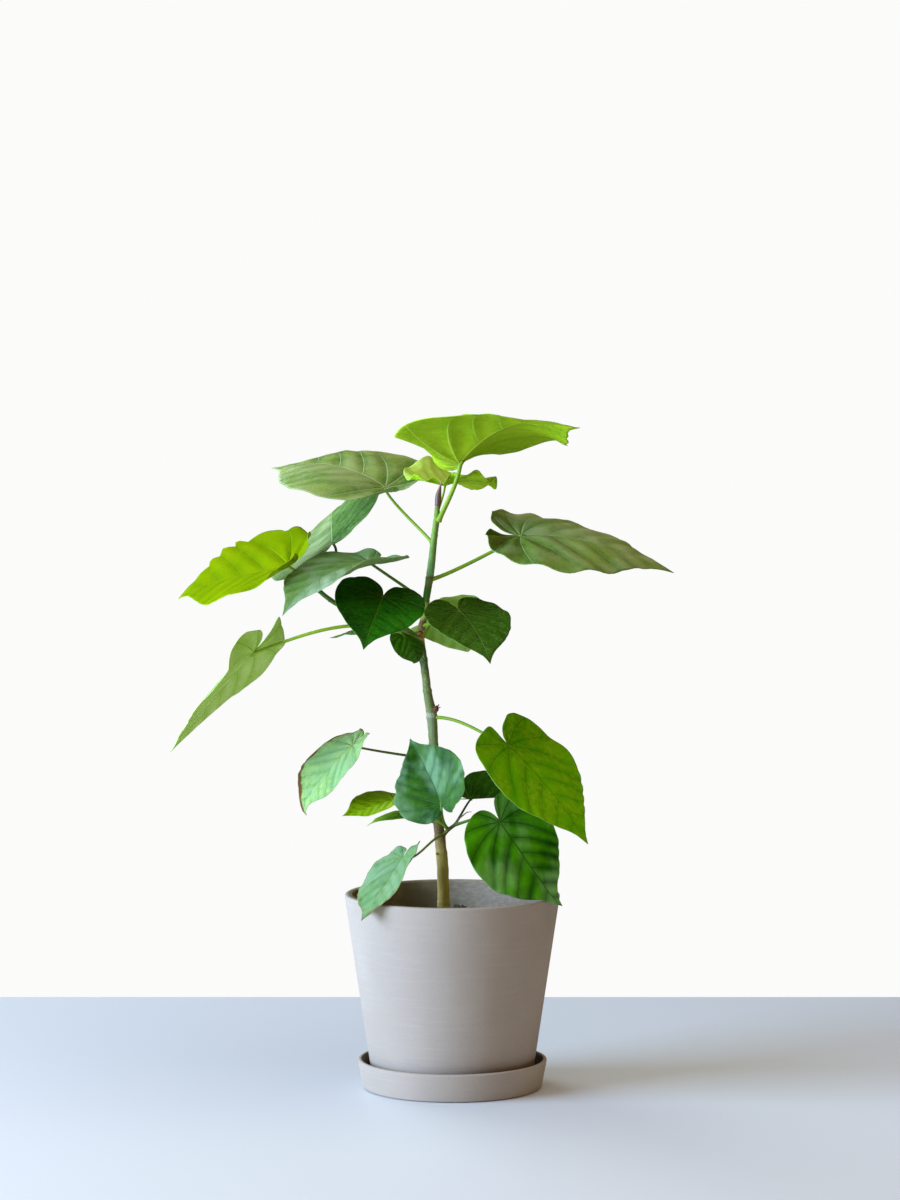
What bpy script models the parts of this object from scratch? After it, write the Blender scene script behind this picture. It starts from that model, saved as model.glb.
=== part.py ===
"""Potted ficus umbellata: a young indoor tree with big heart-shaped leaves, in a tapered clay
pot on its saucer. Metres, +Z up. The origin is the centre of the saucer's flat underside,
and the plant is seen from -Y, with +X to the right."""

import bmesh
import bpy
from math import cos, exp, pi, radians, sin
from mathutils import Matrix, Vector

# The gap that is kept between pieces which touch on the real plant
GAP = 0.0003

# Saucer: a shallow dish whose wall leans out a little
SAUCER_HEIGHT = 0.0273
SAUCER_BASE_RADIUS = 0.0868
SAUCER_RIM_RADIUS = 0.0922
SAUCER_WALL = 0.0053
SAUCER_FLOOR = 0.0065
SAUCER_EDGE = 0.0015
SAUCER_INNER_EDGE = 0.002

# Pot: a plain tapered pot with a rounded lip and a drain hole
POT_HEIGHT = 0.1812
POT_BASE_RADIUS = 0.0775
POT_RIM_RADIUS = 0.1045
POT_WALL = 0.0086
POT_FLOOR = 0.010
POT_EDGE = 0.003
DRAIN_RADIUS = 0.010
POT_FOOT = SAUCER_FLOOR + GAP
POT_TOP = POT_FOOT + POT_HEIGHT

# Soil: it fills the pot up to about 27 mm below the lip
SOIL_TOP = 0.1610
TURNED_STEPS = 48

# Leaf outline: two spiral sides that meet in a drip tip in front and, behind the leaf stalk, in
# a narrow sinus. Lengths are shares of the leaf's length, from the stalk to the tip. The sinus
# starts at SINUS_EDGE, and its floor lies as far from the stalk as at SINUS_FLOOR before it.
SIDE_AT_TIP = 0.84
SIDE_AT_SINUS = 0.14
DRIP_TIP = 0.16
DRIP_TIP_SPREAD = radians(5)
SINUS_SPREAD = radians(7)
SINUS_EDGE = radians(175.5)
SINUS_FLOOR = radians(1.5)
BLADE_THICKNESS = 0.0125
RING_SPREAD = 0.8
LOBE_REACH = 0.2
CURL_START = 0.7
MIDRIB_STEPS = 24

# Leaf stalks: how much wider the foot is and how soon that ends, how much they taper, how
# many rings they have, and how deep in the blade, in shares of its thickness, they end. The
# last ring reaches on along the midrib by a share of the leaf's length.
FOOT_SWELLING = 1.25
FOOT_SPREAD = 0.06
STALK_TAPER = 0.2
STALK_STEPS = 8
STALK_DEPTH = 0.8
STALK_END_DEPTH = 1.0
STALK_END_REACH = 0.05
STALK_END_RADIUS = 0.5

# The knot where the stem was once cut back, and from which the leader and left bough grew
KNOT = (-0.0326, 0.0, 0.4375)
KNOT_RADIUS = 0.0062

# The stub of a lost shoot on the right of the trunk
STUB_HEIGHT = 0.3640
STUB_LENGTH = 0.0025
STUB_RADIUS = 0.0021
STUB_TIP_RADIUS = 0.0017
STUB_DIRECTION = Vector((0.75, -0.25, 0.62)).normalized()

# Points closer than this are one point
WELD = 0.00001

SKINS = {
    "clay": ((0.52, 0.46, 0.41), 0.85),
    "soil": ((0.06, 0.045, 0.035), 0.95),
    "bark": ((0.36, 0.32, 0.19), 0.80),
    "green_bark": ((0.10, 0.22, 0.07), 0.55),
    "bud": ((0.20, 0.08, 0.06), 0.50),
    "leaf": ((0.10, 0.28, 0.03), 0.45),
}

for old in list(bpy.data.objects):
    bpy.data.objects.remove(old, do_unlink=True)
PLANT = bpy.data.collections.new("potted_ficus_umbellata")
bpy.context.scene.collection.children.link(PLANT)


def skin(name):
    """The material of that name, made once."""
    material = bpy.data.materials.get(name)
    if material is None:
        color, roughness = SKINS[name]
        material = bpy.data.materials.new(name)
        material.use_nodes = True
        shader = material.node_tree.nodes["Principled BSDF"]
        shader.inputs["Base Color"].default_value = (*color, 1.0)
        shader.inputs["Roughness"].default_value = roughness
        shader.inputs["Metallic"].default_value = 0.0
    return material


def add(name, data):
    """A new object of this data in the plant's collection."""
    piece = bpy.data.objects.new(name, data)
    PLANT.objects.link(piece)
    return piece


def as_mesh(piece):
    """The mesh of a piece with its modifiers applied; the piece itself is removed."""
    graph = bpy.context.evaluated_depsgraph_get()
    mesh = bpy.data.meshes.new_from_object(piece.evaluated_get(graph))
    bpy.data.objects.remove(piece, do_unlink=True)
    return mesh


def welded(piece):
    """A closed mesh object of a piece, in flat triangles that point outwards."""
    name = piece.name
    mesh = as_mesh(piece)
    form = bmesh.new()
    form.from_mesh(mesh)
    bmesh.ops.remove_doubles(form, verts=form.verts, dist=WELD)
    bmesh.ops.triangulate(form, faces=form.faces)
    bmesh.ops.recalc_face_normals(form, faces=form.faces)
    form.to_mesh(mesh)
    form.free()
    return add(name, mesh)


def fused(name, pieces, skin_name, solver="EXACT"):
    """One solid from overlapping pieces, by a Boolean union on a collection."""
    body = pieces[0]
    others = bpy.data.collections.new(name + "_joined")
    for piece in pieces[1:]:
        PLANT.objects.unlink(piece)
        others.objects.link(piece)
    union = body.modifiers.new("joined", "BOOLEAN")
    union.operation = "UNION"
    union.operand_type = "COLLECTION"
    union.collection = others
    union.solver = solver
    result = add(name, as_mesh(body))
    for piece in list(others.objects):
        bpy.data.objects.remove(piece, do_unlink=True)
    bpy.data.collections.remove(others)
    result.data.materials.clear()
    result.data.materials.append(skin(skin_name))
    return result


def turned(name, profile, skin_name):
    """A turned solid. The profile is (radius, height) points that run down the outer side."""
    mesh = bpy.data.meshes.new(name)
    points = [(radius, 0.0, height) for radius, height in profile]
    closed = profile[0][0] > 0.0
    edges = [(i, i + 1) for i in range(len(points) - 1)]
    if closed:
        edges.append((len(points) - 1, 0))
    mesh.from_pydata(points, edges, [])
    piece = add(name, mesh)
    screw = piece.modifiers.new("turned", "SCREW")
    screw.steps = TURNED_STEPS
    screw.render_steps = TURNED_STEPS
    screw.use_merge_vertices = True
    screw.merge_threshold = WELD
    piece = welded(piece)
    piece.data.materials.append(skin(skin_name))
    piece.data.shade_smooth()
    piece.data.set_sharp_from_angle(angle=radians(35))
    return piece


def smooth_path(points, share):
    """The point at that share of a smooth curve through the points (Catmull-Rom)."""
    along = share * (len(points) - 1)
    first = min(int(along), len(points) - 2)
    t = along - first
    before = points[max(first - 1, 0)]
    a, b = points[first], points[first + 1]
    after = points[min(first + 2, len(points) - 1)]
    return tuple(
        q + 0.5 * ((r - p) * t + (2 * p - 5 * q + 4 * r - s) * t ** 2 + (3 * q - p - 3 * r + s) * t ** 3)
        for p, q, r, s in zip(before, a, b, after)
    )


def tube(name, rings, sides_extra=1):
    """A round tapered solid along rings of (point, radius), with flat capped ends."""
    curve = bpy.data.curves.new(name, "CURVE")
    curve.dimensions = "3D"
    curve.bevel_depth = 1.0
    curve.bevel_resolution = sides_extra
    curve.use_fill_caps = True
    spline = curve.splines.new("POLY")
    spline.points.add(len(rings) - 1)
    for point, (place, radius) in zip(spline.points, rings):
        point.co = (*place, 1.0)
        point.radius = radius
    return welded(add(name, curve))


class Limb:
    """A stem as a smooth row of rings: each given point is (x, y, z, radius)."""

    def __init__(self, points, steps):
        samples = [smooth_path(points, i / steps) for i in range(steps + 1)]
        self.rings = [(Vector(sample[:3]), sample[3]) for sample in samples]

    def at(self, share):
        """Centre, radius and direction at a share of the limb, from its foot to its tip."""
        along = share * (len(self.rings) - 1)
        first = min(int(along), len(self.rings) - 2)
        t = along - first
        (a, radius_a), (b, radius_b) = self.rings[first], self.rings[first + 1]
        return a.lerp(b, t), radius_a + (radius_b - radius_a) * t, (b - a).normalized()

    def share_at_height(self, height):
        """The share of the limb at which its centre passes this height."""
        for i in range(len(self.rings) - 1):
            low, high = self.rings[i][0].z, self.rings[i + 1][0].z
            if low <= height <= high:
                return (i + (height - low) / (high - low)) / (len(self.rings) - 1)
        return 1.0


def ball(name, centre, radius):
    """A round lump, as at a knot or a shoot's tip."""
    form = bmesh.new()
    bmesh.ops.create_icosphere(form, subdivisions=2, radius=radius, matrix=Matrix.Translation(centre))
    mesh = bpy.data.meshes.new(name)
    form.to_mesh(mesh)
    form.free()
    return add(name, mesh)


def outline(angle):
    """Distance from the leaf stalk to the margin, at an angle from the tip."""
    side = SIDE_AT_TIP - (SIDE_AT_TIP - SIDE_AT_SINUS) * angle / pi
    side += DRIP_TIP * exp(-angle / DRIP_TIP_SPREAD)
    return side * (1 - exp(-max(SINUS_EDGE - angle, SINUS_FLOOR) / SINUS_SPREAD))


def across(distance, fold, cup, length):
    """Sideways reach and lift of a point at this distance from the midrib."""
    if abs(cup) < 0.001:
        return distance * cos(fold), distance * sin(fold)
    curve = cup / (0.5 * length)
    end = fold + curve * distance
    return (sin(end) - sin(fold)) / curve, (cos(fold) - cos(end)) / curve


def along(distance, spec):
    """Forward reach, lift and slope of the midrib at this distance from the stalk."""
    arch, curl, lobes = (radians(spec[key]) for key in ("arch", "curl", "lobes"))
    reach, lift, slope = 0.0, 0.0, 0.0
    step = distance / MIDRIB_STEPS
    for i in range(MIDRIB_STEPS):
        middle = step * (i + 0.5) / spec["length"]
        if middle < 0.0:
            slope = lobes * -middle / LOBE_REACH
        else:
            slope = arch * middle + curl * (max(middle - CURL_START, 0.0) / (1.0 - CURL_START)) ** 2
        reach += cos(slope) * step
        lift -= sin(slope) * step
    return reach, lift, slope


# A leaf's shape. Angles are in degrees. heading is where the tip points, 0 along +X and -90
# towards the viewer; pitch and roll tilt it; arch bends the midrib down towards the tip, curl
# only its last third, and lobes bends the two lobes behind the stalk up. fold and cup lift the
# left and right half straight and in a curve, open lets that go towards the tip and lift adds
# to it at the lobes. The stalk leaves its limb at the share foot, towards out, rising by
# spring, and meets the blade at rise.
LEAF_DEFAULTS = {
    "width": 0.97, "arch": 0, "curl": 0, "lobes": 0, "fold": (0, 0), "cup": (0, 0), "twist": 0,
    "open": 0.0, "lift": 0, "roll": 0, "stalk": 0.0017, "foot": 0.5, "spring": 45, "rise": 40,
    "bow": 0.35, "spokes": 28, "rings": 4,
}
SMALL = {"spokes": 18, "rings": 3, "stalk": 0.0013}


def heading_vector(heading):
    """The level direction of a heading in degrees."""
    return Vector((cos(radians(heading)), sin(radians(heading)), 0.0))


def leaf_frame(spec):
    """Forward, left and upward directions of a leaf at its stalk."""
    heading, pitch, roll = (radians(spec[key]) for key in ("heading", "pitch", "roll"))
    forward = Vector((cos(pitch) * cos(heading), cos(pitch) * sin(heading), sin(pitch)))
    level_left = Vector((-sin(heading), cos(heading), 0.0))
    level_up = forward.cross(level_left)
    up = level_up * cos(roll) + level_left * sin(roll)
    left = level_left * cos(roll) - level_up * sin(roll)
    return forward, left, up


def blade_point(spec, side, share):
    """A point of the leaf's upper face: side runs from -1 to 1 round the margin, share outwards."""
    length = spec["length"]
    angle = abs(side) * pi
    reach = outline(angle) * share * length
    on_midrib = reach * cos(angle)
    off_midrib = reach * sin(angle) * spec["width"]
    half = 0 if side > 0 else 1
    opened = 1.0 - spec["open"] * max(on_midrib / length, 0.0)
    behind = min(max(-on_midrib / (LOBE_REACH * length), 0.0), 1.0)
    fold = radians(spec["fold"][half]) * opened + radians(spec["lift"]) * behind
    cup = radians(spec["cup"][half])
    sideways, lift = across(off_midrib, fold, cup, length)
    sideways = sideways if side > 0 else -sideways
    turn = radians(spec["twist"]) * on_midrib / length
    sideways, lift = sideways * cos(turn) - lift * sin(turn), sideways * sin(turn) + lift * cos(turn)
    forward_reach, drop, slope = along(on_midrib, spec)
    forward, left, up = leaf_frame(spec)
    return (
        Vector(spec["base"])
        + forward * (forward_reach + sin(slope) * lift)
        + left * sideways
        + up * (drop + cos(slope) * lift)
    )


def blade(name, spec):
    """The leaf blade: a fan of spokes round the stalk, given its thickness downwards."""
    form = bmesh.new()
    bmesh.ops.create_grid(form, x_segments=spec["spokes"], y_segments=spec["rings"], size=1.0)
    for vertex in form.verts:
        side = -vertex.co.x
        share = (0.5 * (vertex.co.y + 1.0)) ** RING_SPREAD
        vertex.co = blade_point(spec, side, share)
    bmesh.ops.remove_doubles(form, verts=form.verts, dist=WELD)
    mesh = bpy.data.meshes.new(name)
    form.to_mesh(mesh)
    form.free()
    piece = add(name, mesh)
    wall = piece.modifiers.new("thickness", "SOLIDIFY")
    wall.thickness = BLADE_THICKNESS * spec["length"]
    wall.offset = -1.0
    return welded(piece)


def bow(start, leaving, arriving, end, fullness, share):
    """A point at that share of one smooth bow between two places with given directions."""
    handle = fullness * (end - start).length
    first, second = start + leaving * handle, end - arriving * handle
    left = 1.0 - share
    ends = start * left ** 3 + end * share ** 3
    return ends + first * 3 * share * left ** 2 + second * 3 * share ** 2 * left


def stalk_rings(spec):
    """The leaf stalk: from its foot on the limb in one bow to the underside of the blade."""
    radius = spec["stalk"]
    centre, limb_radius, direction = spec["limb"].at(spec["foot"])
    base = Vector(spec["base"])
    forward, left, up = leaf_frame(spec)
    away = heading_vector(spec["out"])
    away = (away - direction * away.dot(direction)).normalized()
    spring, rise = radians(spec["spring"]), radians(spec["rise"])
    start = centre + away * (limb_radius + GAP + radius * FOOT_SWELLING * abs(sin(spring)))
    leaving = away * cos(spring) + direction * sin(spring)
    arriving = forward * cos(rise) + up * sin(rise)
    under = BLADE_THICKNESS * spec["length"]
    end = base - up * STALK_DEPTH * under
    rings = []
    for i in range(STALK_STEPS + 1):
        share = i / STALK_STEPS
        width = 1.0 - STALK_TAPER * share + (FOOT_SWELLING - 1.0) * exp(-share / FOOT_SPREAD)
        rings.append((bow(start, leaving, arriving, end, spec["bow"], share), radius * width))
    past = base - up * STALK_END_DEPTH * under + forward * STALK_END_REACH * spec["length"]
    rings.append((past, STALK_END_RADIUS * radius))
    return rings


def leaf(name, **sizes):
    """A whole leaf, blade and stalk in one solid, whose stalk stands just clear of its limb."""
    spec = dict(LEAF_DEFAULTS, **sizes)
    pieces = [blade(name + "_blade", spec), tube(name + "_stalk", stalk_rings(spec))]
    return fused(name, pieces, "leaf", "MANIFOLD")


def saucer():
    """The dish: flat underside, thin floor, leaning wall with a round lip."""
    lip = 0.5 * SAUCER_WALL
    inside = SAUCER_BASE_RADIUS - SAUCER_WALL
    profile = [(0.0, SAUCER_FLOOR), (inside - SAUCER_INNER_EDGE, SAUCER_FLOOR)]
    profile += [(inside, SAUCER_FLOOR + SAUCER_INNER_EDGE)]
    profile += round_lip(SAUCER_RIM_RADIUS - lip, SAUCER_HEIGHT - lip, lip)
    profile += [(SAUCER_BASE_RADIUS, SAUCER_EDGE), (SAUCER_BASE_RADIUS - SAUCER_EDGE, 0.0), (0.0, 0.0)]
    return turned("saucer", profile, "clay")


def round_lip(radius, height, half_wall, points=5):
    """A half circle over the top of a wall, from its inner side to its outer side."""
    angles = [pi * (1.0 - i / (points - 1)) for i in range(points)]
    return [(radius + half_wall * cos(angle), height + half_wall * sin(angle)) for angle in angles]


def pot_radius(height):
    """Outer radius of the pot's leaning wall at a height above the ground."""
    share = (height - POT_FOOT) / POT_HEIGHT
    return POT_BASE_RADIUS + (POT_RIM_RADIUS - POT_BASE_RADIUS) * share


def pot():
    """The pot: a leaning wall with a softly rounded lip, a thick floor and its drain hole."""
    lip = 0.5 * POT_WALL
    floor = POT_FOOT + POT_FLOOR
    profile = round_lip(POT_RIM_RADIUS - lip, POT_TOP - lip, lip)
    edge = POT_FOOT + POT_EDGE
    profile += [(pot_radius(edge), edge), (POT_BASE_RADIUS - POT_EDGE, POT_FOOT)]
    profile += [(DRAIN_RADIUS, POT_FOOT), (DRAIN_RADIUS, floor)]
    profile += [(pot_radius(floor) - POT_WALL, floor)]
    return turned("pot", profile, "clay")


def soil():
    """The potting mix inside the pot, level on top, as far as it shows and down to the floor."""
    bottom = POT_FOOT + POT_FLOOR + GAP
    clear = POT_WALL + 2 * GAP
    profile = [(0.0, SOIL_TOP), (pot_radius(SOIL_TOP) - clear, SOIL_TOP)]
    profile += [(pot_radius(bottom) - clear, bottom), (0.0, bottom)]
    return turned("soil", profile, "soil")


def cut_level(piece, height):
    """Cut a solid off flat below this height and close the cut."""
    form = bmesh.new()
    form.from_mesh(piece.data)
    everything = form.verts[:] + form.edges[:] + form.faces[:]
    cut = bmesh.ops.bisect_plane(
        form, geom=everything, plane_co=(0, 0, height), plane_no=(0, 0, -1), clear_outer=True
    )
    rim = [part for part in cut["geom_cut"] if isinstance(part, bmesh.types.BMEdge)]
    bmesh.ops.contextual_create(form, geom=rim)
    form.to_mesh(piece.data)
    form.free()
    return piece


def trunk(limb):
    """The main stem from its flat cut at the soil to the knot, with the stub of a lost shoot."""
    stem = tube("trunk_stem", limb.rings, 3)
    knot = ball("knot", KNOT, KNOT_RADIUS)
    centre, radius, direction = limb.at(limb.share_at_height(STUB_HEIGHT))
    tip = centre + STUB_DIRECTION * (radius + STUB_LENGTH)
    stub = tube("stub", [(centre, STUB_RADIUS), (tip, STUB_TIP_RADIUS)])
    return cut_level(fused("trunk", [stem, knot, stub], "bark"), SOIL_TOP + GAP)


def shoot(name, limb, skin_name, tip_radius=0.0):
    """A bough or shoot as one tapering limb, with a round knob at its tip where it has one."""
    stem = tube(name, limb.rings, 2)
    if tip_radius:
        end = limb.rings[-1][0]
        return fused(name, [stem, ball(name + "_knob", end, tip_radius)], skin_name)
    stem.data.materials.clear()
    stem.data.materials.append(skin(skin_name))
    return stem


# Stem: x, y, z and radius along each limb
TRUNK = Limb([
    (-0.0071, 0.0, SOIL_TOP - 0.010, 0.0092), (-0.0078, 0.0, 0.1660, 0.0070), (-0.0084, 0.0, 0.1830, 0.0060),
    (-0.0094, 0.0, 0.2156, 0.0056), (-0.0125, 0.0, 0.2480, 0.0053), (-0.0165, 0.0, 0.2887, 0.0049),
    (-0.0182, 0.0, 0.3346, 0.0046), (-0.0200, 0.0, 0.3620, 0.0051), (-0.0238, 0.0, 0.3828, 0.0041),
    (-0.0271, 0.0, 0.4100, 0.0040), KNOT + (0.0050,),
], 30)
FORK = Limb([KNOT[:2] + (KNOT[2] - 0.003, KNOT_RADIUS), KNOT[:2] + (KNOT[2] + 0.003, KNOT_RADIUS)], 1)
LEADER = Limb([
    (-0.0300, 0.0, 0.4435, 0.0034), (-0.0268, 0.0, 0.4600, 0.0035), (-0.0248, 0.0, 0.4760, 0.0034),
    (-0.0219, 0.0, 0.4939, 0.0038), (-0.0196, 0.0, 0.5118, 0.0035), (-0.0176, 0.0, 0.5320, 0.0032),
    (-0.0151, 0.0, 0.5510, 0.0030), (-0.0145, 0.0, 0.5626, 0.0023),
], 20)
BUD = Limb([
    (-0.0143, 0.0, 0.5629, 0.0023), (-0.0137, 0.0, 0.5680, 0.0027), (-0.0133, 0.0, 0.5741, 0.0025),
    (-0.0118, 0.0, 0.5815, 0.0012), (-0.0106, 0.0, 0.5876, 0.0003),
], 8)
LEFT_BOUGH = Limb([
    (-0.0391, 0.0012, 0.4395, 0.0027), (-0.0554, 0.0070, 0.4460, 0.0025), (-0.0844, 0.0100, 0.4557, 0.0024),
    (-0.1125, 0.0100, 0.4688, 0.0023), (-0.1289, 0.0090, 0.4814, 0.0022), (-0.1400, 0.0070, 0.4930, 0.0021),
    (-0.1475, 0.0050, 0.5030, 0.0020),
], 18)
SIDE_SHOOT = Limb([
    (-0.0082, -0.0056, 0.2455, 0.0019), (-0.0050, -0.0092, 0.2500, 0.0019), (0.0002, -0.0130, 0.2547, 0.0018),
    (0.0036, -0.0150, 0.2573, 0.0018),
], 6)
SHOOT_KNOB_RADIUS = 0.0021
SHOOT_END = tuple(SIDE_SHOOT.rings[-1][0])
SHOOT_TIP = Limb([
    SHOOT_END[:2] + (SHOOT_END[2] - 0.001, SHOOT_KNOB_RADIUS),
    SHOOT_END[:2] + (SHOOT_END[2] + 0.001, SHOOT_KNOB_RADIUS),
], 1)

saucer()
pot()
soil()
trunk(TRUNK)
shoot("leader_shoot", LEADER, "green_bark")
shoot("leader_bud", BUD, "bud")
shoot("left_bough", LEFT_BOUGH, "green_bark")
shoot("side_shoot", SIDE_SHOOT, "green_bark", SHOOT_KNOB_RADIUS)

# Leaves at the top of the leader
leaf("leaf_crown", limb=LEADER, foot=LEADER.share_at_height(0.5505), out=-50, spring=62, rise=35,
     stalk=0.0026, base=(0.007, -0.010, 0.605), heading=-37, pitch=47, roll=7, length=0.161,
     width=0.96, arch=70, curl=-16, lobes=72, lift=22, fold=(27, 28), cup=(-26, -14), open=1.75,
     twist=-9)
leaf("leaf_young", limb=LEADER, foot=LEADER.share_at_height(0.5590), out=70, spring=50,
     stalk=0.0013, base=(-0.0072, 0.016, 0.5829), heading=75, pitch=6, roll=8, length=0.089,
     arch=23, curl=-17, lobes=51, fold=(23, 10), cup=(-2, -13), open=-0.4, twist=34)
leaf("leaf_upper_left", limb=LEADER, foot=LEADER.share_at_height(0.5290), out=142, spring=42,
     rise=60, base=(-0.0654, 0.04, 0.581), heading=151, pitch=29, roll=19, length=0.147, width=0.98,
     arch=52, curl=-23, lobes=66, fold=(15, 4), cup=(-14, -16), open=1.4)
leaf("leaf_upper_right", limb=LEADER, foot=LEADER.share_at_height(0.4935), out=0, spring=22,
     rise=30, stalk=0.0021, base=(0.066, 0.0, 0.536), heading=-6, pitch=2, roll=-17, length=0.154,
     width=0.98, arch=35, curl=-10, lobes=34, fold=(12, 8), cup=(-32, -18), open=1.3, twist=-3)
leaf("leaf_left_front", limb=LEADER, foot=LEADER.share_at_height(0.4725), out=209, spring=28,
     rise=35, base=(-0.080, -0.030, 0.512), heading=218, pitch=-4, length=0.116, width=0.98,
     arch=40, curl=13, lobes=19, fold=(-10, 5), cup=(37, 2), open=0.33, twist=6)
leaf("leaf_right_centre", limb=LEADER, foot=LEADER.share_at_height(0.4490), out=-48, spring=25,
     rise=70, base=(0.007, -0.040, 0.465), heading=-63, pitch=-20, length=0.08, arch=30, curl=10,
     lobes=30, fold=(9, 0), cup=(0, -3), open=0.2, twist=-1)

# Leaves of the left bough
leaf("leaf_left_back", limb=LEFT_BOUGH, foot=0.72, out=80, spring=30, rise=60,
     base=(-0.1183, 0.070, 0.5255), heading=93, pitch=12, roll=43, length=0.14, width=0.98, arch=2,
     curl=10, lobes=3, fold=(1, 1), cup=(14, 5), twist=-1)
leaf("leaf_left_lime", limb=LEFT_BOUGH, foot=0.93, out=230, spring=20, rise=50,
     base=(-0.159, -0.002, 0.507), heading=159, pitch=-12, roll=24, length=0.125, width=0.98,
     arch=5, curl=31, lobes=53, fold=(12, 9), open=0.4, twist=-16)

# Leaves round the knot
leaf("leaf_hanging_left", limb=FORK, foot=0.35, out=208, spring=25, rise=26, bow=0.42, stalk=0.002,
     base=(-0.192, -0.010, 0.423), heading=151, pitch=-46, roll=0, length=0.139, width=0.98, arch=2,
     curl=-6, lobes=-3, lift=19, fold=(-8, 10), cup=(-14, -11), open=-0.6, twist=1)
leaf("leaf_centre_dark", limb=FORK, foot=0.5, out=262, spring=15, rise=70,
     base=(-0.066, -0.060, 0.480), heading=257, pitch=-29, roll=12, length=0.084, width=0.98,
     arch=3, curl=26, fold=(8, 14), cup=(-5, 5), twist=3)
leaf("leaf_centre_small", limb=FORK, foot=0.1, out=240, spring=-5, rise=60, **SMALL,
     base=(-0.046, -0.028, 0.441), heading=-39, pitch=-26, roll=-19, length=0.038, arch=109,
     curl=63, lobes=-13, lift=5, fold=(-19, -4), cup=(-27, -1), twist=29)
leaf("leaf_right_behind", limb=FORK, foot=0.6, out=56, spring=35, **SMALL,
     base=(-0.0122, 0.046, 0.470), heading=-74, pitch=-5, roll=-27, length=0.081, width=0.98,
     arch=114, curl=80, lobes=-10, fold=(-33, -37), cup=(18, 35), open=0.2, twist=-46)
leaf("leaf_left_edge", limb=FORK, foot=0.3, out=118, spring=10, **SMALL,
     base=(-0.078, 0.030, 0.447), heading=189, pitch=-18, roll=4, length=0.044, width=0.98, arch=3,
     curl=-34, lobes=-18, fold=(31, 2), cup=(-78, -2), open=0.3, twist=16)

# Leaves of the trunk
leaf("leaf_mid_right", limb=TRUNK, foot=TRUNK.share_at_height(0.3590), out=-29, spring=0, rise=25,
     base=(0.055, -0.040, 0.336), heading=-20, pitch=-42, roll=-17, length=0.121, arch=16, curl=3,
     lobes=40, fold=(1, 0), cup=(-2, 2), twist=3)
leaf("leaf_lower_left", limb=TRUNK, foot=TRUNK.share_at_height(0.3186), out=180, spring=12, rise=55,
     stalk=0.0014, base=(-0.097, 0.0, 0.332), heading=192, pitch=-41, roll=3, length=0.086,
     width=0.98, arch=18, curl=72, lobes=-1, fold=(5, 6), cup=(-6, 3), twist=-25)
leaf("leaf_low_left_under", limb=TRUNK, foot=TRUNK.share_at_height(0.2580), out=199, spring=20,
     **SMALL, base=(-0.043, -0.010, 0.268), heading=214, pitch=-1, roll=31, length=0.046, arch=30,
     curl=6, lobes=-22, fold=(35, -24), cup=(-20, -18), twist=12)

# Leaves of the side shoot
leaf("leaf_low_left_small", limb=SIDE_SHOOT, foot=0.42, out=198, spring=35, **SMALL,
     base=(-0.0572, -0.018, 0.2816), heading=205, pitch=-13, roll=21, length=0.055, width=0.94,
     arch=4, curl=-6, lobes=-16, fold=(27, -7), open=0.4, twist=-16)
leaf("leaf_pot_side", limb=SIDE_SHOOT, foot=0.12, out=225, spring=-10, rise=60, stalk=0.0013,
     base=(-0.048, -0.040, 0.228), heading=232, pitch=-42, roll=-14, length=0.082, width=0.98,
     arch=-4, curl=6, lobes=-12, fold=(10, 6), cup=(26, -15), open=1.5, twist=-5)
leaf("leaf_lower_front", limb=SIDE_SHOOT, foot=0.56, out=-101, spring=25, rise=-20, stalk=0.0014,
     base=(-0.011, -0.080, 0.2852), heading=114, pitch=49, roll=67, length=0.074, width=1.03,
     arch=-27, curl=26, lobes=6, fold=(32, 3), cup=(-2, -2))
leaf("leaf_low_behind", limb=SIDE_SHOOT, foot=0.66, out=72, spring=30, bow=0.12, **SMALL,
     base=(0.018, 0.03, 0.2765), heading=6, pitch=2, roll=43, length=0.053, width=0.98, arch=-3,
     fold=(37, 42))
leaf("leaf_lower_right", limb=SHOOT_TIP, foot=0.5, out=-43, spring=15, rise=40, stalk=0.0015,
     base=(0.046, -0.055, 0.264), heading=8, pitch=-56, roll=-61, length=0.101, width=0.98, arch=-3,
     curl=-29, fold=(-3, -2), cup=(-4, -3), open=0.6, twist=-1)
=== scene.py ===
"""The looks of the potted ficus umbellata: metres, +Z up, seen from -Y with +X to the right."""

import random
from math import atan2, cos, exp, pi, radians, sin, sqrt

import bmesh
import bpy
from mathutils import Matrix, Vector, noise


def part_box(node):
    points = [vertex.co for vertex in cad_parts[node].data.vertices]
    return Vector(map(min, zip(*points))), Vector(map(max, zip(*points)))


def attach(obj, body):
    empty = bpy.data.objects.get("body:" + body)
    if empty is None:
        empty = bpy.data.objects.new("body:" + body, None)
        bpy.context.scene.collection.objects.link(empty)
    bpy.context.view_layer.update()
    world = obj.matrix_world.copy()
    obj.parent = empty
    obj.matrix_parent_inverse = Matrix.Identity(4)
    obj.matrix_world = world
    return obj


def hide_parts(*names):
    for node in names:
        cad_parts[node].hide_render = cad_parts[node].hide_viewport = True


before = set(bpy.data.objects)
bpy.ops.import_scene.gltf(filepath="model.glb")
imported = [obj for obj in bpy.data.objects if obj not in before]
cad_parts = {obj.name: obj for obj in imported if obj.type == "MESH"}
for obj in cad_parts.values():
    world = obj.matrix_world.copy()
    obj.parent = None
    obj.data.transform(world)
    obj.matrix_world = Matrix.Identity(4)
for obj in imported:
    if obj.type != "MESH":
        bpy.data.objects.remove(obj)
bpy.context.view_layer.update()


# Studio: a pale floor that ends where the photo's floor meets the wall, a white background,
# a broad cool window on the left, a weak warm room on the right and a long lens level with the crown.
def deselect():
    bpy.ops.object.select_all(action="DESELECT")


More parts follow.
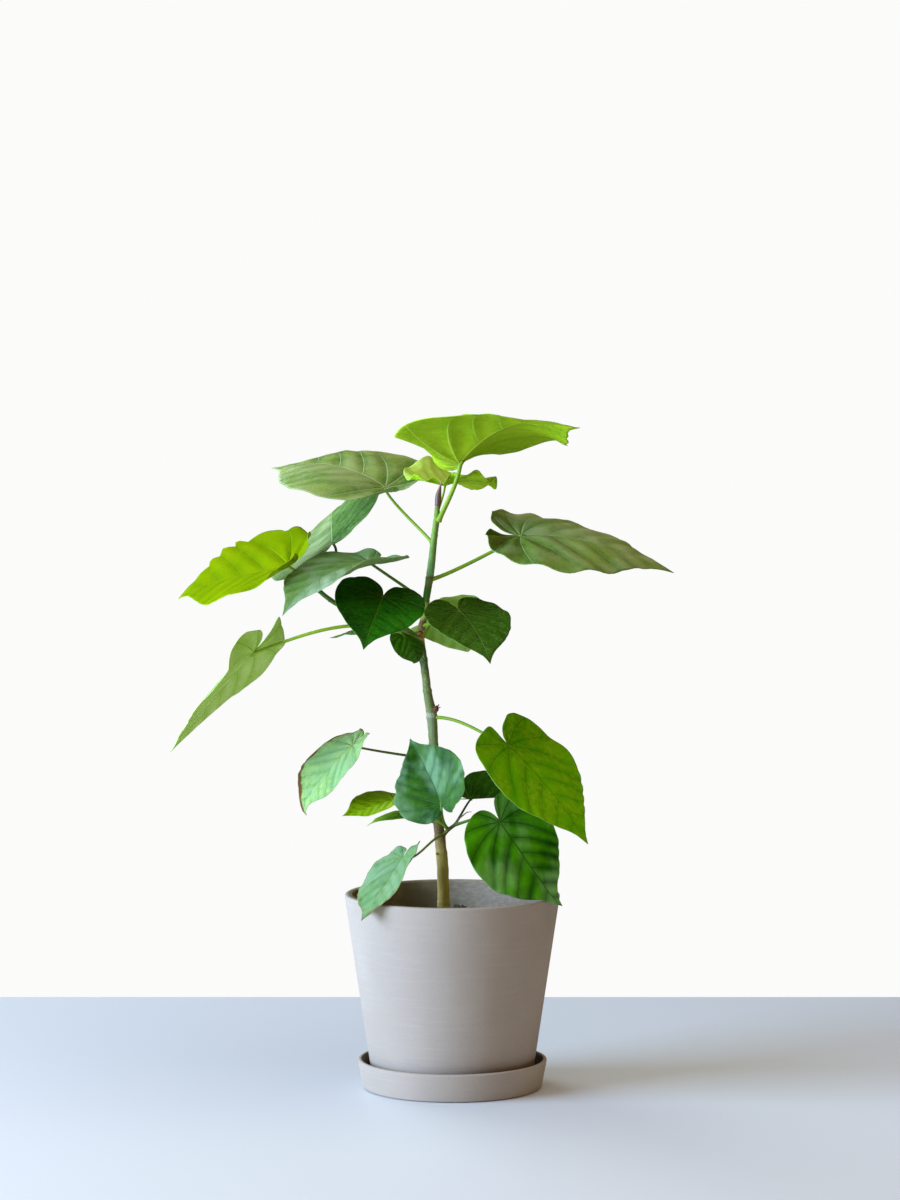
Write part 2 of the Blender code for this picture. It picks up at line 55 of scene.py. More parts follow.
class Finish:
    """A procedural material, built up with short calls."""

    def __init__(self, name, roughness, specular=0.5):
        self.material = bpy.data.materials.new(name)
        self.material.use_nodes = True
        self.tree = self.material.node_tree
        self.shader = self.tree.nodes["Principled BSDF"]
        self.shader.inputs["Roughness"].default_value = roughness
        self.shader.inputs["Specular IOR Level"].default_value = specular

    def node(self, kind, **settings):
        node = self.tree.nodes.new(kind)
        for key, value in settings.items():
            if key in node.inputs:
                node.inputs[key].default_value = value
            else:
                setattr(node, key, value)
        return node

    def link(self, output, target):
        self.tree.links.new(output, target)

    def place(self):
        return self.node("ShaderNodeTexCoord").outputs["Object"]

    def noise(self, scale, detail=4.0, stretch=(1, 1, 1), place=None):
        mapping = self.node("ShaderNodeMapping")
        mapping.inputs["Scale"].default_value = stretch
        self.link(place or self.place(), mapping.inputs["Vector"])
        texture = self.node("ShaderNodeTexNoise", Scale=scale, Detail=detail)
        self.link(mapping.outputs[0], texture.inputs["Vector"])
        return texture.outputs["Fac"]

    def math(self, operation, a, b=None, c=None, clamp=False):
        node = self.node("ShaderNodeMath", operation=operation, use_clamp=clamp)
        for socket, value in zip(node.inputs, (a, b, c)):
            if value is None:
                continue
            if isinstance(value, (int, float)):
                socket.default_value = value
            else:
                self.link(value, socket)
        return node.outputs[0]

    def mix(self, share, a, b):
        node = self.node("ShaderNodeMix", data_type="RGBA")
        for socket, value in zip((node.inputs[0], node.inputs[6], node.inputs[7]), (share, a, b)):
            if isinstance(value, (int, float)):
                socket.default_value = value
            elif isinstance(value, tuple):
                socket.default_value = (*value, 1.0)
            else:
                self.link(value, socket)
        return node.outputs[2]

    def ramp(self, value, low, high):
        node = self.node("ShaderNodeMapRange", interpolation_type="SMOOTHSTEP")
        self.link(value, node.inputs["Value"])
        node.inputs["From Min"].default_value = low
        node.inputs["From Max"].default_value = high
        return node.outputs["Result"]

    def color(self, output):
        self.link(output, self.shader.inputs["Base Color"])

    def bump(self, height, depth, strength=1.0):
        node = self.node("ShaderNodeBump", Strength=strength, Distance=depth)
        self.link(height, node.inputs["Height"])
        self.link(node.outputs[0], self.shader.inputs["Normal"])


deselect()
FLOOR_BACK = 0.52
FLOOR_FRONT = -3.2
bpy.ops.mesh.primitive_plane_add(size=1.0, location=(0, 0.5 * (FLOOR_BACK + FLOOR_FRONT), -0.0005))
floor = bpy.context.object
floor.name = "floor"
floor.scale = (7.0, FLOOR_BACK - FLOOR_FRONT, 1.0)
bpy.ops.object.transform_apply(location=True, rotation=True, scale=True)
paint = Finish("pale_floor", 0.55)
depth = paint.node("ShaderNodeSeparateXYZ")
paint.link(paint.place(), depth.inputs[0])
# Painted light and shade: the floor is painted lighter near the camera and darker towards the back.
paint.color(paint.mix(paint.ramp(depth.outputs["Y"], -0.6, 0.5), (0.80, 0.80, 0.78), (0.64, 0.67, 0.69)))
floor.data.materials.append(paint.material)

camera_data = bpy.data.cameras.new("camera")
camera_data.lens = 115
camera_data.sensor_width = 36
camera = bpy.data.objects.new("camera", camera_data)
bpy.context.scene.collection.objects.link(camera)
camera.location = (-0.0022, -3.69, 0.705)
camera.rotation_euler = (radians(90 - 3.6), 0, 0)
bpy.context.scene.camera = camera


def area_light(name, place, aim, size, power, color):
    """A square soft light at a place, turned towards the point it is aimed at."""
    data = bpy.data.lights.new(name, "AREA")
    data.size = size
    data.energy = power
    data.color = color
    light = bpy.data.objects.new(name, data)
    bpy.context.scene.collection.objects.link(light)
    light.location = place
    light.rotation_euler = (Vector(aim) - Vector(place)).to_track_quat("-Z", "Y").to_euler()


area_light("window", (-4.8, -1.8, 1.3), (0, 0, 0.30), 3.8, 800, (0.48, 0.67, 1.0))
area_light("back_window", (-1.6, 2.2, 1.6), (0, 0, 0.40), 1.6, 40, (0.70, 0.86, 1.0))
area_light("ceiling", (0.3, -0.4, 3.4), (0, -0.4, 0), 3.0, 50, (0.90, 0.95, 0.95))

bpy.context.scene.view_settings.view_transform = "Standard"
world = bpy.data.worlds.new("studio_air")
bpy.context.scene.world = world
world.use_nodes = True
air = world.node_tree
air.nodes["Background"].inputs["Color"].default_value = (1.0, 0.63, 0.29, 1.0)
air.nodes["Background"].inputs["Strength"].default_value = 0.205
seen = air.nodes.new("ShaderNodeBackground")
seen.inputs["Color"].default_value = (0.968, 0.966, 0.962, 1.0)
seen.inputs["Strength"].default_value = 1.0
choice = air.nodes.new("ShaderNodeMixShader")
ray = air.nodes.new("ShaderNodeLightPath")
air.links.new(ray.outputs["Is Camera Ray"], choice.inputs[0])
air.links.new(air.nodes["Background"].outputs[0], choice.inputs[1])
air.links.new(seen.outputs[0], choice.inputs[2])
air.links.new(choice.outputs[0], air.nodes["World Output"].inputs["Surface"])


# Clay: the pot and saucer are thrown from one grey-brown clay and left unglazed, with a fine
# grain, faint turning lines and soft cloudy tones.
def clay_finish(name, slope, foot, floor, painted_shade_tones, lime_and_shade_tones):
    """Matt clay; inside its slanting wall the left side gets painted shade and the right side the second tone pair,
    grey with lime stains in the pot and painted shade in the saucer.
    """
    clay = Finish(name, 0.85, 0.2)
    cloud = clay.ramp(clay.noise(9.0, 5.0), 0.35, 0.7)
    grain = clay.noise(900.0, 2.0)
    speck = clay.ramp(clay.noise(420.0, 1.0), 0.66, 0.74)
    lines = clay.noise(60.0, 3.0, (0.3, 0.3, 9.0))
    tone = clay.mix(cloud, (0.43, 0.350, 0.272), (0.48, 0.394, 0.306))
    tone = clay.mix(clay.math("MULTIPLY", clay.ramp(lines, 0.5, 0.8), 0.16), tone, (0.56, 0.52, 0.47))
    tone = clay.mix(clay.math("MULTIPLY", speck, 0.3), tone, (0.32, 0.27, 0.22))
    brush = clay.ramp(clay.noise(420.0, 3.0, (0.12, 0.12, 1)), 0.45, 0.75)
    tone = clay.mix(clay.math("MULTIPLY", brush, 0.25), tone, (0.40, 0.34, 0.29))
    split = clay.node("ShaderNodeSeparateXYZ")
    clay.link(clay.place(), split.inputs[0])
    x, y, z = (split.outputs[axis] for axis in "XYZ")
    reach = clay.math("SQRT", clay.math("ADD", clay.math("MULTIPLY", x, x), clay.math("MULTIPLY", y, y)))
    wall = clay.math("ADD", clay.math("MULTIPLY", z, slope), foot)
    inside = clay.math("SUBTRACT", 1.0, clay.ramp(clay.math("SUBTRACT", reach, wall), -0.0040, -0.0030))
    inside = clay.math("MULTIPLY", inside, clay.ramp(z, floor, floor + 0.002))
    lime = clay.ramp(clay.noise(330.0, 6.0, (0.6, 0.6, 1.6)), 0.25, 0.85)
    stain_and_shade = clay.mix(lime, *lime_and_shade_tones)
    # Painted shade: the inner wall is painted dark towards the left, where it faces away from the window.
    painted_shade = clay.mix(clay.ramp(clay.noise(30.0, 4.0), 0.4, 0.7), *painted_shade_tones)
    stain_and_shade = clay.mix(clay.ramp(clay.math("ADD", x, clay.math("MULTIPLY", lime, 0.01)), -0.025, 0.020), painted_shade, stain_and_shade)
    clay.color(clay.mix(inside, tone, stain_and_shade))
    height = clay.math("ADD", clay.math("MULTIPLY", grain, 0.5), clay.math("MULTIPLY", lines, 0.4))
    clay.bump(height, 0.0004, 0.6)
    return clay.material


def select_where(piece, mode, test):
    """In edit mode, select the vertices or faces whose centre passes the test."""
    bpy.context.view_layer.objects.active = piece
    bpy.ops.object.mode_set(mode="EDIT")
    bpy.ops.mesh.select_mode(type=mode)
    bpy.ops.mesh.select_all(action="DESELECT")
    mesh = bmesh.from_edit_mesh(piece.data)
    parts = {"VERT": mesh.verts, "EDGE": mesh.edges, "FACE": mesh.faces}[mode]
    for part in parts:
        if mode == "VERT":
            centre = part.co
        elif mode == "EDGE":
            centre = 0.5 * (part.verts[0].co + part.verts[1].co)
        else:
            centre = part.calc_center_median()
        if test(centre, part):
            part.select_set(True)
    bmesh.update_edit_mesh(piece.data)


def level_ring(height):
    """A test for edges that lie flat at a height."""
    return lambda centre, edge: all(abs(vertex.co.z - height) < 0.0002 for vertex in edge.verts) and centre.xy.length > 0.02


def dish(name, base_radius, rim_radius, low, high, wall, floor, lip_width, foot_width):
    """A turned vessel: a cone widened to its rim, hollowed from above, its lip and foot rounded."""
    deselect()
    middle = 0.5 * (low + high)
    bpy.ops.mesh.primitive_cylinder_add(vertices=128, radius=base_radius, depth=high - low, location=(0, 0, middle))
    piece = bpy.context.object
    piece.name = name
    bpy.ops.object.transform_apply(location=True, rotation=True, scale=True)
    select_where(piece, "VERT", lambda place, part: place.z > middle)
    bpy.ops.transform.resize(value=(rim_radius / base_radius, rim_radius / base_radius, 1), center_override=(0, 0, high))
    select_where(piece, "FACE", lambda place, part: part.normal.z > 0.9)
    bpy.ops.mesh.inset(thickness=wall, depth=0)
    bpy.ops.mesh.extrude_region_move(TRANSFORM_OT_translate={"value": (0, 0, floor - high)})
    inner = (base_radius + (rim_radius - base_radius) * (floor - low) / (high - low) - wall) / (rim_radius - wall)
    bpy.ops.transform.resize(value=(inner, inner, 1), center_override=(0, 0, floor))
    select_where(piece, "EDGE", level_ring(high))
    bpy.ops.mesh.bevel(offset=lip_width, segments=6, profile=0.5)
    select_where(piece, "EDGE", level_ring(low))
    bpy.ops.mesh.bevel(offset=foot_width, segments=4, profile=0.5)
    select_where(piece, "EDGE", level_ring(floor))
    bpy.ops.mesh.bevel(offset=0.002, segments=3, profile=0.5)
    bpy.ops.object.mode_set(mode="OBJECT")
    bpy.ops.object.shade_smooth_by_angle(angle=radians(35))
    return piece


saucer_low, saucer_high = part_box("saucer")
saucer = dish("clay_saucer", 0.0868, saucer_high.x, saucer_low.z, saucer_high.z, 0.0053, 0.0065, 0.0022, 0.0015)
# Both inner tone pairs of the saucer are near black-brown: painted shade in the gap between pot and saucer.
saucer_clay = clay_finish("saucer_clay", (saucer_high.x - 0.0868) / saucer_high.z, 0.0868, 0.005,
                          ((0.07, 0.05, 0.035), (0.10, 0.07, 0.05)), ((0.07, 0.05, 0.035), (0.10, 0.07, 0.05)))
saucer.data.materials.append(saucer_clay)
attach(saucer, "root")
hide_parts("saucer")

pot_low, pot_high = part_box("pot")
pot = dish("clay_pot", 0.0775, pot_high.x, pot_low.z, pot_high.z, 0.0086, pot_low.z + 0.010, 0.0022, 0.0025)
# Inside the pot the left wall gets painted shade in dark brown; the right wall is grey clay with lime stains.
pot_clay = clay_finish("pot_clay", 0.149, 0.0765, 0.05,
                       ((0.19, 0.14, 0.07), (0.34, 0.27, 0.16)), ((0.30, 0.24, 0.17), (0.46, 0.365, 0.275)))
pot.data.materials.append(pot_clay)
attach(pot, "root")
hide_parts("pot")


# Soil: dark crumbly potting mix, a little heaped round the stem, with loose crumbs of bark,
# peat and pale grit lying on it.
soil_low, soil_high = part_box("soil")
SOIL_RADIUS = soil_high.x - 0.0002


def mound(place):
    """How high the mix is heaped at a place, behind the stem."""
    return 0.0105 * exp(-((Vector(place[:2]) - Vector((0.006, 0.045))).length / 0.018) ** 2)


random.seed(7)
deselect()
bpy.ops.mesh.primitive_cylinder_add(vertices=96, radius=SOIL_RADIUS, depth=0.02, location=(0, 0, soil_high.z - 0.012))
soil = bpy.context.object
soil.name = "potting_mix"
bpy.ops.object.transform_apply(location=True, rotation=True, scale=True)
select_where(soil, "FACE", lambda place, part: part.normal.z > 0.9)
for ring in range(14):
    bpy.ops.mesh.inset(thickness=0.0058, depth=0)
bpy.ops.object.mode_set(mode="OBJECT")
for vertex in soil.data.vertices:
    place = vertex.co
    if place.z > soil_high.z - 0.005:
        reach = place.xy.length / SOIL_RADIUS
        rough = noise.fractal(place * 120.0, 1.0, 2.0, 3) * 0.0016 + noise.noise(place * 40.0) * 0.0015
        place.z = soil_high.z - 0.0022 + (0.0 if reach > 0.97 else rough) + mound(place)
    elif place.xy.length > 0.5 * SOIL_RADIUS:
        place.xy = place.xy * 0.985
earth = Finish("potting_mix", 0.95)
patch = earth.ramp(earth.noise(260.0, 3.0), 0.4, 0.62)
dust = earth.ramp(earth.noise(900.0, 2.0), 0.62, 0.72)
tone = earth.mix(patch, (0.035, 0.026, 0.020), (0.085, 0.062, 0.045))
earth.color(earth.mix(earth.math("MULTIPLY", dust, 0.5), tone, (0.22, 0.18, 0.14)))
earth.bump(earth.noise(500.0, 5.0), 0.0015, 0.9)
soil.data.materials.append(earth.material)
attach(soil, "root")
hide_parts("soil")

CRUMB_TONES = {"crumb_dark": (0.05, 0.035, 0.025), "crumb_bark": (0.16, 0.10, 0.06), "crumb_grit": (0.36, 0.32, 0.27)}
CRUMB_COUNTS = {"crumb_dark": 420, "crumb_bark": 150, "crumb_grit": 60}
for crumb_name, crumb_tone in CRUMB_TONES.items():
    deselect()
    crumbs = []
    for index in range(CRUMB_COUNTS[crumb_name]):
        reach = SOIL_RADIUS * sqrt(random.random()) * 0.96
        angle = random.uniform(0, 2 * pi)
        size = random.uniform(0.0007, 0.0021)
        spot = (reach * cos(angle), reach * sin(angle), soil_high.z - 0.0022 + 0.35 * size + mound((reach * cos(angle), reach * sin(angle))))
        if (Vector(spot[:2]) - Vector((-0.0078, 0.0))).length < 0.010:
            continue
        bpy.ops.mesh.primitive_ico_sphere_add(subdivisions=1, radius=size, location=spot)
        crumb = bpy.context.object
        crumb.scale = (random.uniform(0.7, 1.5), random.uniform(0.6, 1.1), random.uniform(0.4, 0.8))
        crumb.rotation_euler = (random.uniform(0, pi), random.uniform(0, pi), random.uniform(0, pi))
        crumbs.append(crumb)
    deselect()
    for crumb in crumbs:
        crumb.select_set(True)
    bpy.context.view_layer.objects.active = crumbs[0]
    bpy.ops.object.join()
    bpy.ops.object.transform_apply(location=True, rotation=True, scale=True)
    heap = bpy.context.object
    heap.name = crumb_name
    grit = Finish(crumb_name, 0.9)
    lighter = tuple(min(1.0, 1.7 * value) for value in crumb_tone)
    grit.color(grit.mix(grit.noise(300.0, 2.0), crumb_tone, lighter))
    heap.data.materials.append(grit.material)
    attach(heap, "root")


# Stems: a slim trunk of tan to grey-green bark with rings and scars, cut back once at a knot,
# from which a green leader and a left bough grew. Low on it a short shoot bears leaves.
def smooth_path(points, share):
    """The point at that share of a smooth curve through the points."""
    along = share * (len(points) - 1)
    first = min(int(along), len(points) - 2)
    t = along - first
    before = points[max(first - 1, 0)]
    a, b = points[first], points[first + 1]
    after = points[min(first + 2, len(points) - 1)]
    return tuple(
        0.5 * (2 * q + (r - p) * t + (2 * p - 5 * q + 4 * r - s) * t ** 2 + (3 * q - p - 3 * r + s) * t ** 3)
        for p, q, r, s in zip(before, a, b, after)
    )


class Limb:
    """A stem as a smooth row of rings: each given point is (x, y, z, radius)."""

    def __init__(self, points, steps):
        samples = [smooth_path(points, i / steps) for i in range(steps + 1)]
        self.rings = [(Vector(sample[:3]), sample[3]) for sample in samples]

    def at(self, share):
        """Centre, radius and direction at a share of the limb, from its foot to its tip."""
        along = share * (len(self.rings) - 1)
        first = min(int(along), len(self.rings) - 2)
        t = along - first
        (a, radius_a), (b, radius_b) = self.rings[first], self.rings[first + 1]
        return a.lerp(b, t), radius_a + (radius_b - radius_a) * t, (b - a).normalized()

    def share_at_height(self, height):
        """The share of the limb at which its centre passes this height."""
        for i in range(len(self.rings) - 1):
            low, high = self.rings[i][0].z, self.rings[i + 1][0].z
            if low <= height <= high:
                return (i + (height - low) / (high - low)) / (len(self.rings) - 1)
        return 1.0


SOIL_TOP = 0.1610
KNOT = (-0.0326, 0.0, 0.4375)
KNOT_RADIUS = 0.0062
TRUNK = Limb([
    (-0.0071, 0.0, SOIL_TOP - 0.010, 0.0092), (-0.0078, 0.0, 0.1660, 0.0070), (-0.0084, 0.0, 0.1830, 0.0060),
    (-0.0094, 0.0, 0.2156, 0.0056), (-0.0125, 0.0, 0.2480, 0.0053), (-0.0165, 0.0, 0.2887, 0.0049),
    (-0.0182, 0.0, 0.3346, 0.0046), (-0.0200, 0.0, 0.3620, 0.0051), (-0.0238, 0.0, 0.3828, 0.0041),
    (-0.0271, 0.0, 0.4100, 0.0040), KNOT + (0.0050,),
], 30)
FORK = Limb([KNOT[:2] + (KNOT[2] - 0.003, KNOT_RADIUS), KNOT[:2] + (KNOT[2] + 0.003, KNOT_RADIUS)], 1)
LEADER = Limb([
    (-0.0300, 0.0, 0.4435, 0.0034), (-0.0268, 0.0, 0.4600, 0.0035), (-0.0248, 0.0, 0.4760, 0.0034),
    (-0.0219, 0.0, 0.4939, 0.0038), (-0.0196, 0.0, 0.5118, 0.0035), (-0.0176, 0.0, 0.5320, 0.0032),
    (-0.0151, 0.0, 0.5510, 0.0030), (-0.0145, 0.0, 0.5626, 0.0023),
], 20)
BUD = Limb([
    (-0.0143, 0.0, 0.5629, 0.0023), (-0.0137, 0.0, 0.5680, 0.0027), (-0.0133, 0.0, 0.5741, 0.0025),
    (-0.0118, 0.0, 0.5815, 0.0012), (-0.0106, 0.0, 0.5876, 0.0003),
], 8)
LEFT_BOUGH = Limb([
    (-0.0391, 0.0012, 0.4395, 0.0027), (-0.0554, 0.0070, 0.4460, 0.0025), (-0.0844, 0.0100, 0.4557, 0.0024),
    (-0.1125, 0.0100, 0.4688, 0.0023), (-0.1289, 0.0090, 0.4814, 0.0022), (-0.1400, 0.0070, 0.4930, 0.0021),
    (-0.1475, 0.0050, 0.5030, 0.0020),
], 18)
SIDE_SHOOT = Limb([
    (-0.0082, -0.0056, 0.2455, 0.0019), (-0.0050, -0.0092, 0.2500, 0.0019), (0.0002, -0.0130, 0.2547, 0.0018),
    (0.0036, -0.0150, 0.2573, 0.0018),
], 6)
SHOOT_KNOB_RADIUS = 0.0021
SHOOT_END = tuple(SIDE_SHOOT.rings[-1][0])
SHOOT_TIP = Limb([
    SHOOT_END[:2] + (SHOOT_END[2] - 0.001, SHOOT_KNOB_RADIUS),
    SHOOT_END[:2] + (SHOOT_END[2] + 0.001, SHOOT_KNOB_RADIUS),
], 1)


def tube(name, rings, resolution=4):
    """A round tapering tube along (point, radius) rings, made as a curve and turned into a mesh."""
    data = bpy.data.curves.new(name, "CURVE")
    data.dimensions = "3D"
    data.bevel_depth = 1.0
    data.bevel_resolution = resolution
    data.use_fill_caps = True
    spline = data.splines.new("POLY")
    spline.points.add(len(rings) - 1)
    for point, (place, radius) in zip(spline.points, rings):
        point.co = (*place, 1.0)
        point.radius = radius
    piece = bpy.data.objects.new(name, data)
    bpy.context.scene.collection.objects.link(piece)
    deselect()
    piece.select_set(True)
    bpy.context.view_layer.objects.active = piece
    bpy.ops.object.convert(target="MESH")
    piece = bpy.context.object
    bpy.ops.object.mode_set(mode="EDIT")
    bpy.ops.mesh.select_all(action="SELECT")
    bpy.ops.mesh.remove_doubles(threshold=0.00001)
    bpy.ops.mesh.normals_make_consistent(inside=False)
    bpy.ops.object.mode_set(mode="OBJECT")
    return piece


def bark_rings(limb, steps, scars, depth):
    """The limb's rings set close, swollen at its leaf scars and a little uneven between them."""
    rings = []
    for i in range(steps + 1):
        share = i / steps
        centre, radius, direction = limb.at(share)
        for scar in scars:
            radius += depth * exp(-((share - scar) / 0.006) ** 2) - 0.5 * depth * exp(-((share - scar - 0.012) / 0.006) ** 2)
        rings.append((centre, radius * (1.0 + 0.02 * sin(37.0 * share) * sin(11.0 * share + 1.0))))
    return rings


def roughened(piece, amount, scale):
    """Moves each vertex a little along its normal, as bark is uneven."""
    for vertex in piece.data.vertices:
        vertex.co += vertex.normal * noise.noise(vertex.co * scale) * amount
    piece.data.shade_smooth()
    return piece


def bark_finish(name, bands, scar_tone, spots, holes=0.0, gloss=0.6, shine=0.3):
    """Bark whose tone goes from band to band up the stem, with streaks, scars and lenticels.

    Each band is (height, colour). holes is the share of dark pits at the top."""
    bark = Finish(name, gloss, shine)
    split = bark.node("ShaderNodeSeparateXYZ")
    bark.link(bark.place(), split.inputs[0])
    low, high = bands[0][0], bands[-1][0]
    wander = bark.math("MULTIPLY", bark.math("SUBTRACT", bark.noise(60.0, 3.0), 0.5), 0.010)
    rise = bark.node("ShaderNodeMapRange")
    bark.link(bark.math("ADD", split.outputs["Z"], wander), rise.inputs["Value"])
    rise.inputs["From Min"].default_value = low
    rise.inputs["From Max"].default_value = high
    ramp = bark.node("ShaderNodeValToRGB")
    bark.link(rise.outputs["Result"], ramp.inputs["Fac"])
    stops = ramp.color_ramp.elements
    stops[0].color, stops[1].color = (*bands[0][1], 1.0), (*bands[-1][1], 1.0)
    for height, tone in bands[1:-1]:
        stops.new((height - low) / (high - low)).color = (*tone, 1.0)
    tone = ramp.outputs["Color"]
    streak = bark.ramp(bark.noise(220.0, 4.0, (1, 1, 0.12)), 0.42, 0.68)
    tone = bark.mix(bark.math("MULTIPLY", streak, 0.30), tone, scar_tone)
    dots = bark.ramp(bark.noise(420.0, 1.0, (1, 1, 1.6)), 0.62, 0.68)
    tone = bark.mix(bark.math("MULTIPLY", dots, spots), tone, (0.50, 0.42, 0.24))
    rings = bark.ramp(bark.noise(70.0, 2.0, (0.1, 0.1, 1.0)), 0.60, 0.70)
    tone = bark.mix(bark.math("MULTIPLY", rings, 0.25), tone, scar_tone)
    if holes:
        pits = bark.math("MULTIPLY", bark.ramp(bark.noise(330.0, 2.0), 0.52, 0.60), bark.ramp(rise.outputs["Result"], 0.955, 0.985))
        tone = bark.mix(bark.math("MULTIPLY", pits, holes), tone, (0.05, 0.025, 0.01))
    bark.color(tone)
    bark.bump(bark.noise(420.0, 4.0, (1, 1, 0.35)), 0.0006, 0.8)
    return bark.material


def joined(name, pieces):
    """Several objects made one, with its place in its mesh."""
    deselect()
    for piece in pieces:
        piece.select_set(True)
    bpy.context.view_layer.objects.active = pieces[0]
    bpy.ops.object.join()
    piece = bpy.context.object
    piece.name = name
    return piece


# Bark bands: the tan foot is partly its own colour and partly painted light that makes up for the shade of the
# pot_side leaf; the near black-green band at 0.410-0.428 is painted shade cast by the leaves above; the orange-brown
# at the knot is its own.
STEM_BARK = bark_finish("stem_bark", [
    (SOIL_TOP, (0.74, 0.55, 0.13)), (0.215, (0.74, 0.56, 0.13)), (0.228, (0.58, 0.44, 0.11)), (0.242, (0.34, 0.20, 0.06)),
    (0.250, (0.22, 0.12, 0.04)), (0.260, (0.26, 0.22, 0.08)), (0.268, (0.26, 0.29, 0.10)), (0.33, (0.23, 0.31, 0.09)),
    (0.3585, (0.26, 0.33, 0.14)), (0.3600, (0.44, 0.46, 0.32)), (0.3625, (0.44, 0.46, 0.32)), (0.3640, (0.21, 0.26, 0.08)), (0.400, (0.18, 0.25, 0.06)), (0.410, (0.045, 0.11, 0.012)),
    (0.4280, (0.045, 0.10, 0.012)), (0.4340, (0.50, 0.25, 0.06)), (0.4450, (0.55, 0.25, 0.05)),
], (0.17, 0.13, 0.05), 0.5, 0.85)
TRUNK_SCARS = [TRUNK.share_at_height(height) for height in (0.180, 0.2273, 0.2430, 0.2600, 0.2950, 0.3320, 0.3600, 0.3850, 0.4150)]
trunk_mesh = tube("stem", bark_rings(TRUNK, 240, TRUNK_SCARS, 0.00035), 7)
for vertex in trunk_mesh.data.vertices:
    vertex.co.z = max(vertex.co.z, SOIL_TOP - 0.002)
roughened(trunk_mesh, 0.00035, 160.0)
deselect()
bpy.ops.mesh.primitive_ico_sphere_add(subdivisions=4, radius=KNOT_RADIUS, location=KNOT)
knot = bpy.context.object
bpy.ops.object.transform_apply(location=True, rotation=True, scale=True)
for vertex in knot.data.vertices:
    out = vertex.co - Vector(KNOT)
    dent = noise.noise(vertex.co * 260.0) * 0.0011 + noise.noise(vertex.co * 620.0) * 0.0005
    vertex.co += out.normalized() * (dent - 0.0004)
knot.data.shade_smooth()
centre, radius, direction = TRUNK.at(TRUNK.share_at_height(0.3640))
out = Vector((0.75, -0.25, 0.62)).normalized()
stub = tube("stub", [
    (centre - out * 0.001, 0.0042), (centre + out * (radius - 0.0006), 0.0037), (centre + out * (radius + 0.0016), 0.0032),
    (centre + out * (radius + 0.0028), 0.0021),
])
STUB_SPIKES = [(0.0006, 0.0011, 0.0022), (-0.0018, -0.0010, 0.0016), (0.0022, -0.0014, -0.0004)]
spikes = [
    tube("spike", [(centre + out * (radius + 0.0012), 0.0013), (centre + out * (radius + 0.0042) + Vector(tip), 0.0003)], 2)
    for tip in STUB_SPIKES
]
SCAR_PLACE = Vector((-0.0148, -0.0050, 0.2273))
scar = tube("scar", [(SCAR_PLACE + Vector((0.0016, 0.002, 0)), 0.0017), (SCAR_PLACE, 0.0012)], 3)
twig = tube("dead_twig", [(Vector(KNOT) + Vector((-0.003, -0.003, 0.003)), 0.0011), (Vector((-0.0432, -0.005, 0.4425)), 0.0004)], 2)
for piece in [stub, scar, twig, *spikes]:
    roughened(piece, 0.00025, 500.0)
DEAD_WOOD = bark_finish("dead_wood", [(0.22, (0.25, 0.13, 0.06)), (0.45, (0.20, 0.10, 0.045))], (0.06, 0.03, 0.015), 0.3)
for piece in [stub, scar, twig, *spikes]:
    piece.data.materials.clear()
    piece.data.materials.append(DEAD_WOOD)
for piece in (trunk_mesh, knot):
    piece.data.materials.clear()
    piece.data.materials.append(STEM_BARK)
trunk = joined("bark_trunk", [trunk_mesh, knot, stub, scar, twig, *spikes])
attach(trunk, "root")
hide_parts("trunk")

RING_BROWN = (0.18, 0.14, 0.05)
# Bark bands: the light yellow-green at 0.456-0.469 is painted light where the leaves shade the leader; the brown bands
# are nodal rings; the paler bluish-green from 0.4975 is partly its own tone and partly a painted highlight.
GREEN_BARK = bark_finish("green_bark", [
    (0.4415, (0.30, 0.15, 0.05)), (0.4520, (0.26, 0.14, 0.05)), (0.4560, (0.55, 0.62, 0.11)), (0.4630, (0.60, 0.66, 0.12)), (0.4690, (0.30, 0.45, 0.08)),
    (0.4712, RING_BROWN), (0.4728, (0.07, 0.19, 0.025)), (0.4830, (0.06, 0.17, 0.02)), (0.4850, RING_BROWN),
    (0.4900, (0.12, 0.25, 0.06)), (0.4950, RING_BROWN), (0.4975, (0.20, 0.42, 0.17)), (0.5150, (0.22, 0.38, 0.07)),
    (0.5626, (0.24, 0.38, 0.05)),
], (0.04, 0.11, 0.02), 0.12, gloss=0.36, shine=0.1)
BOUGH_BARK = bark_finish("bough_bark", [(0.43, (0.07, 0.15, 0.02)), (0.51, (0.10, 0.20, 0.03))], (0.03, 0.06, 0.015), 0.15)
leader = roughened(tube("green_leader", bark_rings(LEADER, 120, [0.06, 0.12, 0.25, 0.43, 0.74, 0.9], 0.00045), 6), 0.00015, 300.0)
leader.data.materials.clear()
leader.data.materials.append(GREEN_BARK)
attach(leader, "root")
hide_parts("leader_shoot")
bough = roughened(tube("left_bough_bark", bark_rings(LEFT_BOUGH, 120, [0.1, 0.3, 0.55, 0.72, 0.9], 0.0003), 5), 0.00012, 300.0)
bough.data.materials.clear()
bough.data.materials.append(BOUGH_BARK)
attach(bough, "root")
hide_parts("left_bough")
side = tube("side_shoot_bark", bark_rings(SIDE_SHOOT, 40, [0.12, 0.42, 0.66, 0.9], 0.0003), 5)
side.data.materials.clear()
side.data.materials.append(bark_finish("shoot_bark", [(0.244, (0.22, 0.12, 0.04)), (0.252, (0.11, 0.12, 0.025)), (0.26, (0.06, 0.10, 0.015))], (0.05, 0.035, 0.015), 0.3))
stipule = tube("stipule", [
    (Vector((0.0040, -0.0150, 0.2585)), 0.0010), (Vector((0.0073, -0.0160, 0.2635)), 0.0008),
    (Vector((0.0139, -0.0180, 0.2690)), 0.0005), (Vector((0.0187, -0.0180, 0.2697)), 0.0002),
], 2)
stipule.data.materials.clear()
stipule.data.materials.append(DEAD_WOOD)
side = joined("side_shoot_bark", [side, stipule])
